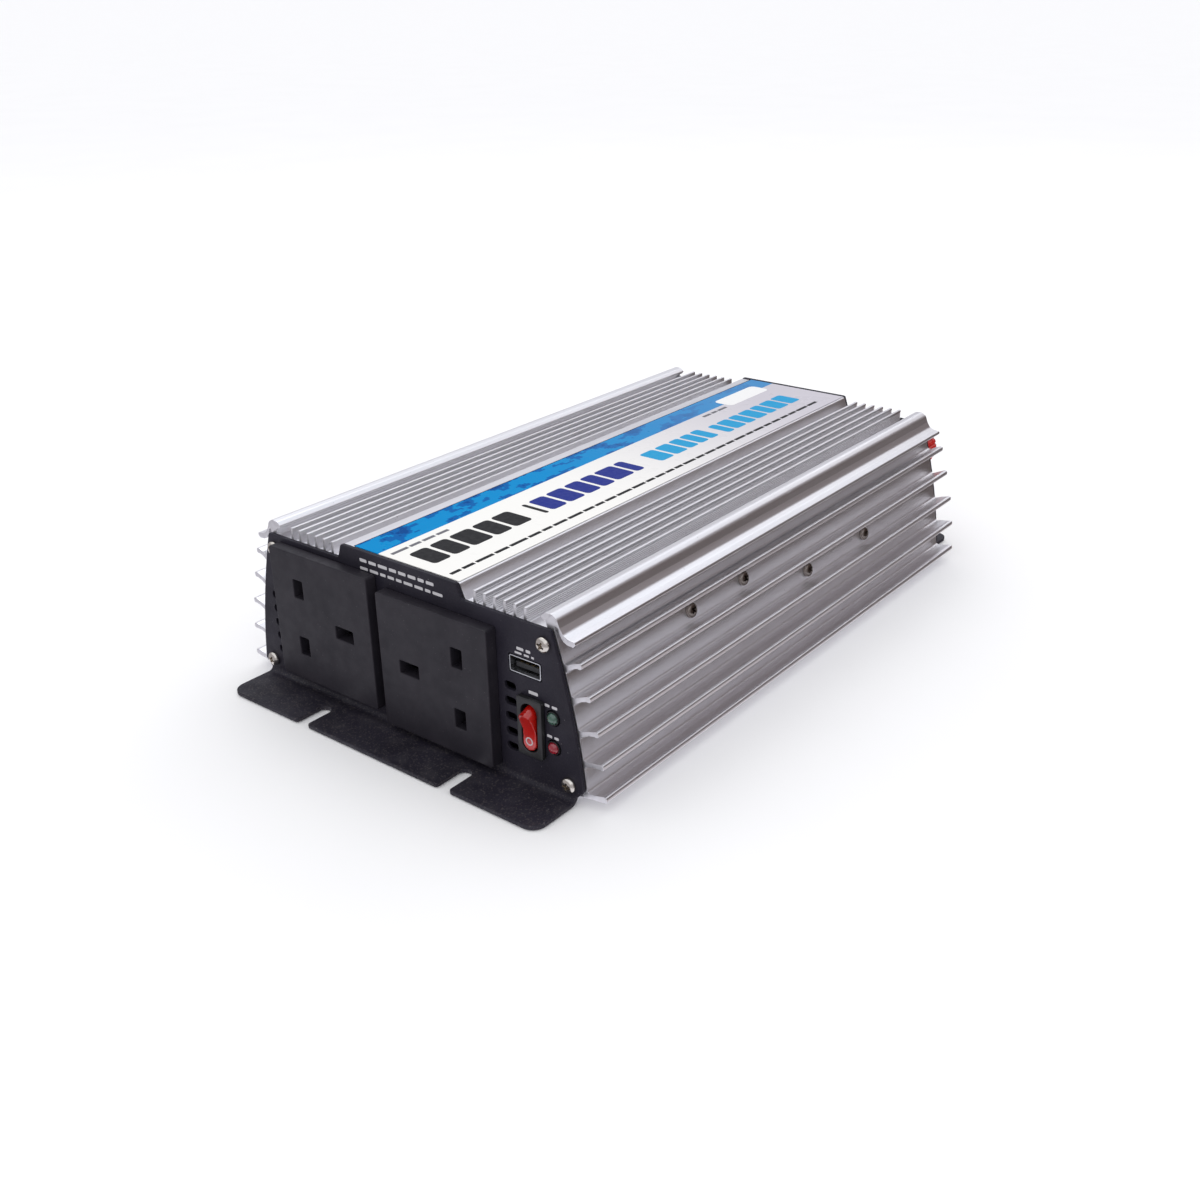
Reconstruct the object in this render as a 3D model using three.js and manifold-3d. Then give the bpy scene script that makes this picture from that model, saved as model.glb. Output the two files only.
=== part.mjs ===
// A power inverter in a finned aluminium case: battery terminals on one end, two mains
// sockets on the other. Millimetres, +Z up. X runs across the case, -Y is the mains end,
// +Y is the battery end, and the origin is on the ground under the middle of the case.
import * as THREE from 'three';
import { mergeVertices } from 'three/addons/utils/BufferGeometryUtils.js';
import Module from 'manifold-3d';

const wasm = await Module();
wasm.setup();

// ---------- driving dimensions ----------

const GAP = 0.3;                 // between parts that rest on each other
const OVERRUN = 1;               // how far a cutter runs past the face it cuts
const ARC_STEPS = 6;             // half the facets of a full circle

// case extrusion, seen along Y
const CASE_LENGTH = 246;
const WALL = 2.2;
const CASE_BOTTOM = 2.3;
const DECK_TOP = 57.4;
const PLATFORM_TOP = 63.2;       // raised centre of the deck, which carries the label
const PLATFORM_TOP_HALF = 27;
const PLATFORM_BASE_HALF = 29.2;
const SIDE_TOP = { x: 64.9, z: 58.4 };
const SIDE_FOOT = { x: 76.2, z: 5.6 };
const SIDE_BULGE = 1.5;          // the sides bow out by this much at half height
const SIDE_STEPS = 8;
const SIDE_PROUD = 0.4;          // the case stands this far outside the end plates
const DECK_FIN = { first: 33, pitch: 4.18, count: 6, thickness: 1.2, top: 62.3 };
const SIDE_FIN_ROOT = 0.8;       // half thickness where a side fin meets the wall
const SIDE_FIN_TIP = 0.95;       // half thickness of its rounded tip
const SIDE_FINS = [              // root, knee and tip of each side fin
  [[67.9, 46.1], [72.3, 48.1], [74.3, 48.5]],
  [[70.4, 35.8], [74.6, 37.5], [77.4, 38.2]],
  [[72.8, 25.0], [77.4, 26.6], [80.2, 27.1]],
  [[74.2, 15.0], [78.6, 15.9], [82.1, 16.2]],
  [[75.2, 3.6], [79.4, 4.4], [83.2, 5.0]],
];
const CURL = [                   // centre line of the hooked lip along each top edge
  [60.7, 61.2], [62.4, 61.9], [64.3, 61.9], [65.9, 60.7], [67.0, 58.8],
  [68.3, 56.9], [70.1, 55.8], [72.3, 55.3],
];
const CURL_HALF = 0.85;
const CURL_STEPS = 14;
const BASE_LIP = { inner: 62.5, top: 3.1 };
const BASE_COVER = { half: 66.6, bottom: 3.4, thickness: 1 };
const LABEL = { left: -21.9, right: 26.4, lift: 0.1, thickness: 0.25 };
const BOARD = { half: 71.2, bottom: 12, thickness: 1.6, front: -98, back: 100 };
const BOARD_RIB = { inner: 68.4, thickness: 0.9 };

// end plates: bent sheet steel with a foot
const PLATE = 1.5;
const PLATE_BACK = CASE_LENGTH / 2 + 0.2;
const PLATE_FACE = PLATE_BACK + PLATE;
const FOOT_END = PLATE_FACE + 19.2;
const FOOT_HALF = 73.1;
const FOOT_CORNER = 5;
const BEND_RADIUS = 2;           // on the inside of the bend
const BEND_TOP = PLATE + BEND_RADIUS;
const TAB = { top: 63.6, topHalf: 26.65, baseHalf: 28.4 };
const FOOT_SLOT = { x: 34, width: 5.2, depth: 12.5, mouth: 1.2 };
const PLATE_SCREWS = [
  { x: 62.4, z: 53.2, boss: 3.3 },
  { x: 70.8, z: 6.8, boss: 3.8 },
];
const SCREW_HOLE = 1.5;          // radii of the holes that M3 screws pass through
const SCREW = { shank: 1.2, head: 2.65, rise: 1.9, rim: 0.7, slot: 0.85, reach: 1.7, depth: 1.1 };
const VENTS = { x: [-64.7, 47.6], top: 34.2, pitch: 5.5, count: 5, width: 4.8, height: 2.8 };

// mains sockets (British pattern, laid on their side)
const SOCKET_PLACES = { left: [-34.9, 32.1, 0], right: [18.3, 28.8, Math.PI] };
const FASCIA = { size: 49.2, front: -4.7, back: -0.2, corner: 0.8 };
const SKIRT = { size: 44, wall: 1.5, front: 0.8, back: 10.5 };
const SOCKET_WINDOW = SKIRT.size + 0.6;
const SOCKET_BACK = { front: 10.8, rear: 20.5, wall: 2 };
const PIN_OFFSET = 11.1;         // half of the 22.2 mm between pins
const LINE_SLOT = { width: 4.8, height: 7 };
const EARTH_SLOT = { width: 8.8, height: 4.8 };
const SHUTTER_TRAVEL = 5.4;
const SHUTTER = { front: 1.1, back: 2.7, left: -14.7, right: -1.5, half: 16 };
const SHUTTER_WINDOW = { width: 5.4, height: 7.6 };
const SHUTTER_RAMP = { half: 1.8, root: 4.5, lip: 6.9, tip: 12.4, heel: 9, back: 7.2 };
const CONTACT_LEAF = 0.8;
const CONTACT_GRIP = 2.2;        // half the room between a contact's leaves
const CONTACT_TAIL = { half: 1.5, back: 24 };

// control strip at the right of the mains end
const USB = { x: 54.2, z: 42.7, width: 12.8, height: 5.8, wall: 0.4, front: -0.3, back: 13.8 };
const USB_TONGUE = { front: 2.2, root: 10, width: 11, bottom: -2, top: -0.2 };
const SWITCH = { x: 56.7, z: 22.9, width: 10, height: 20.6, rise: 2 };
const SWITCH_BODY = { width: 8.8, height: 18.8, back: 13 };
const SWITCH_WELL = { half: 3.2, reach: 8.5, back: 9.5 };
const ROCKER = { half: 2.6, reach: 7.9, face: -2.1, pivot: 1.8, back: 4, throw: 22, pin: 0.9 };
const LED = { x: 65, z: [28.5, 18], radius: 2.4, hole: 2.75, flange: 3, rise: 1.7, back: 9 };
const LED_LEG = { offset: 1.27, radius: 0.3, back: 13.9 };
const PANEL_BOARD = { left: 46.5, right: 66.9, bottom: 14.2, top: 45, front: 14.1, back: 15.7 };

// battery end
const FAN = { x: -34, z: 29.7, size: 50, bore: 23.6, front: 107.7, back: 122.7, screw: 20 };
const FAN_STATOR = { radius: 9.6, back: 116, web: 2.4, sleeve: 1.6 };
const ROTOR = {
  hub: 12, cup: 10.4, blade: 22.8, front: 112, back: 121.6, blades: 7, chord: 9.5, pitch: 38,
  shaft: 1.5, shaftFront: 108.2,
};
const GRILLE = { rings: [[4.5, 8], [10, 13.5], [15.5, 19], [21, 23]], spoke: 2 };
const TERMINAL_Z = 42;
const TERMINAL_X = { red: 55.5, black: 24.5 };
const TERMINAL = {
  flange: 9.5, flangeBack: 127.9, neck: 5.5, neckFront: 120, bore: 3.4,
  stud: 3, studFront: 106, studBack: 139.2, headFlats: 11, headFront: 112, headBack: 116,
  washer: 7, washerFront: 128.2, washerBack: 129.4,
  knob: 9.2, knobFront: 129.7, knobBack: 141.8, knobFloor: 139.8, flutes: 12, fluteDepth: 0.5,
};

// power electronics on the right wall and the board
const CLAMPS = {                 // height of the screws, their places and the bar along Y
  front: { z: 41.4, screws: [-59.3, -27.2], from: -66, to: -20.5, packages: 2 },
  rear: { z: 30.5, screws: [14.2, 58.4], from: 7.5, to: 65, packages: 3 },
};
const TRANSISTOR = { strip: 0.8, body: 4, width: 10, pitch: 12.4, half: 7.5 };
const CLAMP_BAR = { thickness: 2.5, half: 4.5 };
const TRANSFORMER = { x: 4, y: -8, width: 54, height: 38, depth: 22, leg: 14, yoke: 7.5 };
const WINDING = { height: 22, outerX: 36, outerY: 42, innerX: 15, innerY: 23 };
const INPUT_CAPACITORS = { a: [38, 84], b: [12, 84] };
const INPUT_CAPACITOR = { radius: 9, height: 31 };
const BUS_CAPACITOR = { x: -48, y: -52, radius: 11, height: 35 };

// ---------- finishes ----------

function finish(color, roughness, metalness) {
  return new THREE.MeshStandardMaterial({ color, roughness, metalness });
}

const aluminium = finish(0xb9b8bd, 0.38, 0.9);
const blackSteel = finish(0x2b2831, 0.62, 0.3);
const blackPlastic = finish(0x35313a, 0.6, 0);
const paleNylon = finish(0x8a8a86, 0.5, 0);
const nickel = finish(0xcfc9bd, 0.25, 1);
const darkScrew = finish(0x6f675f, 0.35, 1);
const brass = finish(0xc7a24c, 0.35, 1);
const tinnedSteel = finish(0xa9abb0, 0.3, 1);
const redPlastic = finish(0xb01a12, 0.25, 0);
const blackKnob = finish(0x1d1c1f, 0.4, 0);
const greenLens = finish(0x5f8f7d, 0.15, 0);
const redLens = finish(0xa01830, 0.15, 0);
const boardGreen = finish(0x1f5a34, 0.5, 0);
const ferrite = finish(0x3a393c, 0.7, 0);
const copperTape = finish(0xb87a3a, 0.45, 0.5);
const capacitorSleeve = finish(0x22334f, 0.4, 0);
const labelFilm = finish(0xdfe6ec, 0.35, 0);

// ---------- solids ----------

// A closed geometry as a manifold solid: shared vertices merged, collapsed facets dropped.
function solid(geometry) {
  const bare = new THREE.BufferGeometry();
  bare.setAttribute('position', geometry.getAttribute('position'));
  bare.setIndex(geometry.getIndex());
  const merged = mergeVertices(bare, 1e-4);
  const corners = merged.getIndex().array;
  const kept = [];
  for (let i = 0; i < corners.length; i += 3) {
    const [a, b, c] = [corners[i], corners[i + 1], corners[i + 2]];
    if (a !== b && b !== c && c !== a) kept.push(a, b, c);
  }
  return new wasm.Manifold(new wasm.Mesh({
    numProp: 3,
    vertProperties: Float32Array.from(merged.getAttribute('position').array),
    triVerts: Uint32Array.from(kept),
  }));
}

function toGeometry(body) {
  const { vertProperties, triVerts } = body.getMesh();
  const geometry = new THREE.BufferGeometry();
  geometry.setAttribute('position', new THREE.BufferAttribute(vertProperties, 3));
  geometry.setIndex(new THREE.BufferAttribute(triVerts, 1));
  geometry.computeVertexNormals();
  return geometry;
}

function join(bodies) {
  return bodies.reduce((whole, body) => whole.add(body));
}

function cut(body, cutters) {
  return cutters.reduce((left, cutter) => left.subtract(cutter), body);
}

function piece(name, body, material) {
  const mesh = new THREE.Mesh(toGeometry(body), material);
  mesh.name = name;
  return mesh;
}

function extrude(shape, depth, curveSegments) {
  return new THREE.ExtrudeGeometry(shape, { depth, bevelEnabled: false, curveSegments });
}

// a shape drawn in X and Z, run along Y
function prismY(shape, y0, y1, curveSegments = ARC_STEPS) {
  const geometry = extrude(shape, y1 - y0, curveSegments);
  return solid(geometry.rotateX(Math.PI / 2).translate(0, y1, 0));
}

// a shape drawn in X and Y, run along Z
function prismZ(shape, z0, z1, curveSegments = ARC_STEPS) {
  return solid(extrude(shape, z1 - z0, curveSegments).translate(0, 0, z0));
}

// a shape drawn in Y and Z, run along X
function prismX(shape, x0, x1, curveSegments = ARC_STEPS) {
  const turn = new THREE.Matrix4().makeBasis(
    new THREE.Vector3(0, 1, 0), new THREE.Vector3(0, 0, 1), new THREE.Vector3(1, 0, 0));
  return solid(extrude(shape, x1 - x0, curveSegments).applyMatrix4(turn).translate(x0, 0, 0));
}

function block(x0, x1, y0, y1, z0, z1) {
  const geometry = new THREE.BoxGeometry(x1 - x0, y1 - y0, z1 - z0);
  return solid(geometry.translate((x0 + x1) / 2, (y0 + y1) / 2, (z0 + z1) / 2));
}

function rodY(x, z, radius, y0, y1, facets = 16) {
  const geometry = new THREE.CylinderGeometry(radius, radius, y1 - y0, facets);
  return solid(geometry.translate(x, (y0 + y1) / 2, z));
}

function rodX(y, z, radius, x0, x1, facets = 12) {
  const geometry = new THREE.CylinderGeometry(radius, radius, x1 - x0, facets);
  return solid(geometry.rotateZ(Math.PI / 2).translate((x0 + x1) / 2, y, z));
}

function rodZ(x, y, radius, z0, z1, facets = 12) {
  const geometry = new THREE.CylinderGeometry(radius, radius, z1 - z0, facets);
  return solid(geometry.rotateX(Math.PI / 2).translate(x, y, (z0 + z1) / 2));
}

// a profile of [radius, height] turned about +Z
function turned(profile, facets) {
  const points = profile.map(([radius, height]) => new THREE.Vector2(radius, height));
  return solid(new THREE.LatheGeometry(points, facets).rotateX(Math.PI / 2));
}

// ---------- outlines ----------

function outline(points) {
  return new THREE.Shape(points.map(([a, b]) => new THREE.Vector2(a, b)));
}

function mirrored(points, side) {
  return points.map(([a, b]) => [side * a, b]);
}

function rectangle(x, z, width, height, corner = 0) {
  const [left, right, low, high] = [x - width / 2, x + width / 2, z - height / 2, z + height / 2];
  if (corner === 0) return outline([[left, low], [right, low], [right, high], [left, high]]);
  const quarter = Math.PI / 2;
  const shape = new THREE.Shape();
  shape.absarc(right - corner, low + corner, corner, -quarter, 0);
  shape.absarc(right - corner, high - corner, corner, 0, quarter);
  shape.absarc(left + corner, high - corner, corner, quarter, 2 * quarter);
  shape.absarc(left + corner, low + corner, corner, 2 * quarter, 3 * quarter);
  return shape;
}

function circle(x, z, radius) {
  return new THREE.Shape().absarc(x, z, radius, 0, 2 * Math.PI);
}

function arcPoints(x, z, radius, from, to, steps) {
  return Array.from({ length: steps + 1 }, (_, i) => {
    const angle = from + (to - from) * i / steps;
    return [x + radius * Math.cos(angle), z + radius * Math.sin(angle)];
  });
}

// A band along a line of points, its half thickness going from one value to another,
// square at the start and rounded at the end.
function ribbon(line, startHalf, endHalf) {
  const above = [];
  const below = [];
  const last = line.length - 1;
  line.forEach(([x, z], i) => {
    const before = line[Math.max(i - 1, 0)];
    const after = line[Math.min(i + 1, last)];
    const along = Math.atan2(after[1] - before[1], after[0] - before[0]);
    const half = startHalf + (endHalf - startHalf) * i / last;
    above.push([x - half * Math.sin(along), z + half * Math.cos(along)]);
    below.unshift([x + half * Math.sin(along), z - half * Math.cos(along)]);
  });
  const [tip, neck] = [line[last], line[last - 1]];
  const heading = Math.atan2(tip[1] - neck[1], tip[0] - neck[0]);
  const quarter = Math.PI / 2;
  const cap = arcPoints(tip[0], tip[1], endHalf, heading + quarter, heading - quarter, 4);
  return [...above, ...cap.slice(1, -1), ...below];
}

// half width of an end plate at a height
function sideX(z) {
  const t = (z - SIDE_FOOT.z) / (SIDE_TOP.z - SIDE_FOOT.z);
  return SIDE_FOOT.x + (SIDE_TOP.x - SIDE_FOOT.x) * t + 4 * SIDE_BULGE * t * (1 - t);
}

// how far the side leans in for each millimetre of height
function sideLean(z) {
  return (sideX(z - 1) - sideX(z + 1)) / 2;
}

function sidePoints(from, to, inset) {
  return Array.from({ length: SIDE_STEPS + 1 }, (_, i) => {
    const z = from + (to - from) * i / SIDE_STEPS;
    return [sideX(z) - inset, z];
  });
}

// ---------- case ----------

function caseWall(side) {
  const legTop = CURL[1][1];
  const foot = BASE_LIP.top + 0.2;
  const points = [
    [BASE_LIP.inner, CASE_BOTTOM],
    [FOOT_HALF, CASE_BOTTOM],
    ...sidePoints(foot, legTop, -SIDE_PROUD),
    ...sidePoints(legTop, foot, WALL - SIDE_PROUD),
    [SIDE_FOOT.x - WALL, BASE_LIP.top],
    [BASE_LIP.inner, BASE_LIP.top],
  ];
  return outline(mirrored(points, side));
}

function deckFin(x) {
  const half = DECK_FIN.thickness / 2;
  const crown = arcPoints(x, DECK_FIN.top - half, half, 0, Math.PI, 3);
  return outline([[x - half, DECK_TOP - 1], [x + half, DECK_TOP - 1], ...crown]);
}

function caseExtrusion() {
  const ends = [-CASE_LENGTH / 2, CASE_LENGTH / 2];
  const run = (shape) => prismY(shape, ...ends);
  const deckHalf = SIDE_TOP.x - WALL / 2;
  const deckBottom = DECK_TOP - WALL;
  const bodies = [
    run(outline([[-deckHalf, deckBottom], [deckHalf, deckBottom], [deckHalf, DECK_TOP],
      [-deckHalf, DECK_TOP]])),
    run(outline([[-PLATFORM_BASE_HALF, DECK_TOP - 1], [PLATFORM_BASE_HALF, DECK_TOP - 1],
      [PLATFORM_TOP_HALF, PLATFORM_TOP], [-PLATFORM_TOP_HALF, PLATFORM_TOP]])),
  ];
  const curlLine = new THREE.SplineCurve(CURL.map(([x, z]) => new THREE.Vector2(x, z)))
    .getPoints(CURL_STEPS).map((point) => [point.x, point.y]);
  const ribHeights = [BOARD.bottom - GAP - BOARD_RIB.thickness,
    BOARD.bottom + BOARD.thickness + GAP];
  for (const side of [-1, 1]) {
    bodies.push(run(caseWall(side)));
    bodies.push(run(outline(mirrored(ribbon(curlLine, CURL_HALF, CURL_HALF), side))));
    for (const fin of SIDE_FINS) {
      bodies.push(run(outline(mirrored(ribbon(fin, SIDE_FIN_ROOT, SIDE_FIN_TIP), side))));
    }
    for (let i = 0; i < DECK_FIN.count; i += 1) {
      bodies.push(run(deckFin(side * (DECK_FIN.first + i * DECK_FIN.pitch))));
    }
    for (const { x, z, boss } of PLATE_SCREWS) bodies.push(run(circle(side * x, z, boss)));
    for (const z of ribHeights) {
      const outer = sideX(z) - WALL / 2;
      bodies.push(run(outline(mirrored([[BOARD_RIB.inner, z], [outer, z],
        [outer, z + BOARD_RIB.thickness], [BOARD_RIB.inner, z + BOARD_RIB.thickness]], side))));
    }
  }
  const cutEnds = [ends[0] - OVERRUN, ends[1] + OVERRUN];
  const lean = (PLATFORM_BASE_HALF - PLATFORM_TOP_HALF) / (PLATFORM_TOP - DECK_TOP);
  const hollowTop = PLATFORM_TOP - WALL;
  const hollowTopHalf = PLATFORM_TOP_HALF - WALL + lean * WALL;
  const hollowBaseHalf = hollowTopHalf + lean * (hollowTop - deckBottom + OVERRUN);
  const cutters = [prismY(outline([
    [-hollowBaseHalf, deckBottom - OVERRUN], [hollowBaseHalf, deckBottom - OVERRUN],
    [hollowTopHalf, hollowTop], [-hollowTopHalf, hollowTop]]), ...cutEnds)];
  for (const side of [-1, 1]) {
    for (const { x, z } of PLATE_SCREWS) {
      cutters.push(rodY(side * x, z, SCREW_HOLE, ...cutEnds, 12));
    }
  }
  for (const { z, screws } of Object.values(CLAMPS)) {
    for (const y of screws) cutters.push(sideHole(y, z));
  }
  return cut(join(bodies), cutters);
}

// a hole square to the right wall, for a clamp screw
function sideHole(y, z) {
  const reach = 6;
  const geometry = new THREE.CylinderGeometry(SCREW_HOLE + 0.1, SCREW_HOLE + 0.1, 2 * reach, 12);
  geometry.rotateX(Math.PI / 2).rotateY(Math.PI / 2 - Math.atan(sideLean(z)));
  return solid(geometry.translate(sideX(z), y, z));
}

function baseCover() {
  const end = CASE_LENGTH / 2 - GAP;
  const { half, bottom, thickness } = BASE_COVER;
  return block(-half, half, -end, end, bottom, bottom + thickness);
}

function label() {
  const end = CASE_LENGTH / 2 - GAP;
  const { left, right, lift, thickness } = LABEL;
  const bottom = PLATFORM_TOP + lift;
  return block(left, right, -end, end, bottom, bottom + thickness);
}

// ---------- end plates ----------

function plateOutline() {
  const chamferX = FOOT_HALF + (BEND_TOP - CASE_BOTTOM)
    * (SIDE_FOOT.x - FOOT_HALF) / (SIDE_FOOT.z - CASE_BOTTOM);
  const right = [
    [chamferX, BEND_TOP],
    ...sidePoints(SIDE_FOOT.z, SIDE_TOP.z, 0),
    [TAB.baseHalf, SIDE_TOP.z],
    [TAB.topHalf, TAB.top],
  ];
  return outline([...right, ...mirrored(right, -1).reverse()]);
}

// the foot's edge seen from above, with its two open slots
function footPlan(end) {
  const { x, width, depth, mouth } = FOOT_SLOT;
  const quarter = Math.PI / 2;
  const half = width / 2;
  const points = [[-FOOT_HALF, PLATE_BACK - OVERRUN], [FOOT_HALF, PLATE_BACK - OVERRUN]];
  points.push(...arcPoints(FOOT_HALF - FOOT_CORNER, FOOT_END - FOOT_CORNER, FOOT_CORNER,
    0, quarter, 5));
  for (const centre of [x, -x]) {
    const floor = FOOT_END - depth + half;
    points.push(...arcPoints(centre + half + mouth, FOOT_END - mouth, mouth,
      quarter, 2 * quarter, 2));
    points.push(...arcPoints(centre, floor, half, 0, -2 * quarter, 6));
    points.push(...arcPoints(centre - half - mouth, FOOT_END - mouth, mouth, 0, quarter, 2));
  }
  points.push(...arcPoints(-FOOT_HALF + FOOT_CORNER, FOOT_END - FOOT_CORNER, FOOT_CORNER,
    quarter, 2 * quarter, 5));
  return outline(points.map(([a, b]) => [a, end * b]));
}

function bendProfile(end) {
  const centre = PLATE_BACK + BEND_TOP;
  const quarter = Math.PI / 2;
  const points = [
    [PLATE_BACK, BEND_TOP + OVERRUN],
    ...arcPoints(centre, BEND_TOP, BEND_TOP, 2 * quarter, 3 * quarter, 5),
    [FOOT_END, 0],
    [FOOT_END, PLATE],
    ...arcPoints(centre, BEND_TOP, BEND_RADIUS, 3 * quarter, 2 * quarter, 5),
    [PLATE_FACE, BEND_TOP + OVERRUN],
  ];
  return outline(points.map(([y, z]) => [end * y, z]));
}

function alongEnd(end, shape, nearY, farY, curveSegments) {
  const [a, b] = [end * nearY, end * farY];
  return prismY(shape, Math.min(a, b), Math.max(a, b), curveSegments);
}

function plateBlank(end) {
  const upright = alongEnd(end, plateOutline(), PLATE_BACK, PLATE_FACE);
  const bent = prismX(bendProfile(end), -FOOT_HALF, FOOT_HALF);
  const plan = prismZ(footPlan(end), -OVERRUN, BEND_TOP + 2 * OVERRUN);
  return upright.add(bent.intersect(plan));
}

function plateCutter(end, shape, curveSegments) {
  return alongEnd(end, shape, PLATE_BACK - OVERRUN, PLATE_FACE + OVERRUN, curveSegments);
}

function plateScrewCutters(end) {
  return [-1, 1].flatMap((side) => PLATE_SCREWS.map(({ x, z }) => plateCutter(end,
    circle(side * x, z, SCREW_HOLE))));
}

function frontPlate() {
  const cutters = plateScrewCutters(-1);
  for (const [x, z] of Object.values(SOCKET_PLACES)) {
    cutters.push(plateCutter(-1, rectangle(x, z, SOCKET_WINDOW, SOCKET_WINDOW)));
  }
  cutters.push(plateCutter(-1, rectangle(USB.x, USB.z, USB.width + 2 * GAP, USB.height + 2 * GAP)));
  cutters.push(plateCutter(-1, rectangle(SWITCH.x, SWITCH.z,
    SWITCH_BODY.width + 2 * GAP, SWITCH_BODY.height + 2 * GAP)));
  for (const z of LED.z) cutters.push(plateCutter(-1, circle(LED.x, z, LED.hole)));
  for (const x of VENTS.x) {
    for (let i = 0; i < VENTS.count; i += 1) {
      cutters.push(plateCutter(-1,
        rectangle(x, VENTS.top - i * VENTS.pitch, VENTS.width, VENTS.height, 1), 2));
    }
  }
  return cut(plateBlank(-1), cutters);
}

// one quarter of a grille ring, between two spokes
function grilleSlot(inner, outer, quarterTurn) {
  const half = GRILLE.spoke / 2;
  const [innerTrim, outerTrim] = [Math.asin(half / inner), Math.asin(half / outer)];
  const start = quarterTurn * Math.PI / 2 + Math.PI / 4;
  const steps = outer > ROTOR.hub ? 6 : 3;
  return outline([
    ...arcPoints(FAN.x, FAN.z, outer, start + outerTrim, start + Math.PI / 2 - outerTrim, steps),
    ...arcPoints(FAN.x, FAN.z, inner, start + Math.PI / 2 - innerTrim, start + innerTrim, steps),
  ]);
}

function rearPlate() {
  const cutters = plateScrewCutters(1);
  for (const [inner, outer] of GRILLE.rings) {
    for (let quarter = 0; quarter < 4; quarter += 1) {
      cutters.push(plateCutter(1, grilleSlot(inner, outer, quarter)));
    }
  }
  for (const [x, z] of fanScrewPlaces()) cutters.push(plateCutter(1, circle(x, z, SCREW_HOLE)));
  for (const x of Object.values(TERMINAL_X)) {
    cutters.push(plateCutter(1, circle(x, TERMINAL_Z, TERMINAL.neck + GAP), 8));
  }
  return cut(plateBlank(1), cutters);
}

// ---------- screws ----------

// a cross-head pan screw that seats on Z = 0 and points down
function panScrew(length) {
  const { shank, head, rise, rim, slot, reach, depth } = SCREW;
  const body = turned([
    [0, -length], [shank, -length], [shank, 0], [head, 0], [head, rim],
    [0.7 * head, 0.85 * rise], [0, rise],
  ], 12);
  const half = slot / 2;
  const bars = [
    block(-reach, reach, -half, half, rise - depth, rise + OVERRUN),
    block(-half, half, -reach, reach, rise - depth, rise + OVERRUN),
  ];
  return body.subtract(join(bars));
}

function screw(name, length, material, position, rotation) {
  const mesh = piece(name, panScrew(length), material);
  mesh.position.set(...position);
  mesh.rotation.set(...rotation);
  return mesh;
}

function plateScrews(end, endName) {
  const levels = ['top', 'bottom'];
  const sides = { left: -1, right: 1 };
  return Object.entries(sides).flatMap(([sideName, side]) => PLATE_SCREWS.map(({ x, z }, i) => {
    const place = [side * x, end * (PLATE_FACE + 0.1), z];
    const name = `${endName}_screw_${levels[i]}_${sideName}`;
    return screw(name, 10, nickel, place, [-end * Math.PI / 2, 0, 0]);
  }));
}

function fanScrewPlaces() {
  return [-1, 1].flatMap((across) => [-1, 1].map((up) => [
    FAN.x + across * FAN.screw, FAN.z + up * FAN.screw]));
}

function fanScrews() {
  return fanScrewPlaces().map(([x, z], i) => screw(`fan_screw_${i + 1}`, 12, nickel,
    [x, PLATE_FACE + 0.1, z], [-Math.PI / 2, 0, 0]));
}

// ---------- mains sockets ----------
// Drawn with the earth hole at +X and Y counted inwards from the face of the front plate.

function socketSlots(y0, y1) {
  return [
    prismY(rectangle(PIN_OFFSET, 0, EARTH_SLOT.width, EARTH_SLOT.height), y0, y1),
    ...[-1, 1].map((up) => prismY(rectangle(-PIN_OFFSET, up * PIN_OFFSET,
      LINE_SLOT.width, LINE_SLOT.height), y0, y1)),
  ];
}

function socketFront() {
  const { size, wall, front, back } = SKIRT;
  const body = join([
    prismY(rectangle(0, 0, FASCIA.size, FASCIA.size, FASCIA.corner), FASCIA.front, FASCIA.back, 2),
    prismY(rectangle(0, 0, size, size), FASCIA.back - OVERRUN, back),
  ]);
  const inner = size - 2 * wall;
  const room = prismY(rectangle(0, 0, inner, inner), front, back + OVERRUN);
  return cut(body, [room, ...socketSlots(FASCIA.front - OVERRUN, front + OVERRUN)]);
}

function socketShutter() {
  const { front, back, left, right, half } = SHUTTER;
  const ramp = SHUTTER_RAMP;
  const plate = block(left, right, front, back, -half, half);
  const arm = block(right - OVERRUN, ramp.lip - 0.4, front, back, -ramp.half, ramp.half);
  const slope = prismZ(outline([[ramp.root, front], [ramp.lip, front], [ramp.tip, ramp.back],
    [ramp.heel, ramp.back]]), -ramp.half, ramp.half);
  const windows = [-1, 1].map((up) => prismY(rectangle(-PIN_OFFSET + SHUTTER_TRAVEL,
    up * PIN_OFFSET, SHUTTER_WINDOW.width, SHUTTER_WINDOW.height),
  front - OVERRUN, back + OVERRUN));
  return cut(join([plate, arm, slope]), windows);
}

function socketBack() {
  const { front, rear, wall } = SOCKET_BACK;
  const inner = SKIRT.size - 2 * SKIRT.wall;
  const body = prismY(rectangle(0, 0, SKIRT.size, SKIRT.size), front, rear);
  const room = prismY(rectangle(0, 0, inner, inner), front - OVERRUN, rear - wall);
  const tailHoles = contactPlaces().map(({ tail }) => prismY(tailShape(tail, GAP),
    rear - wall - OVERRUN, rear + OVERRUN));
  return cut(body, [room, ...tailHoles]);
}

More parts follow.
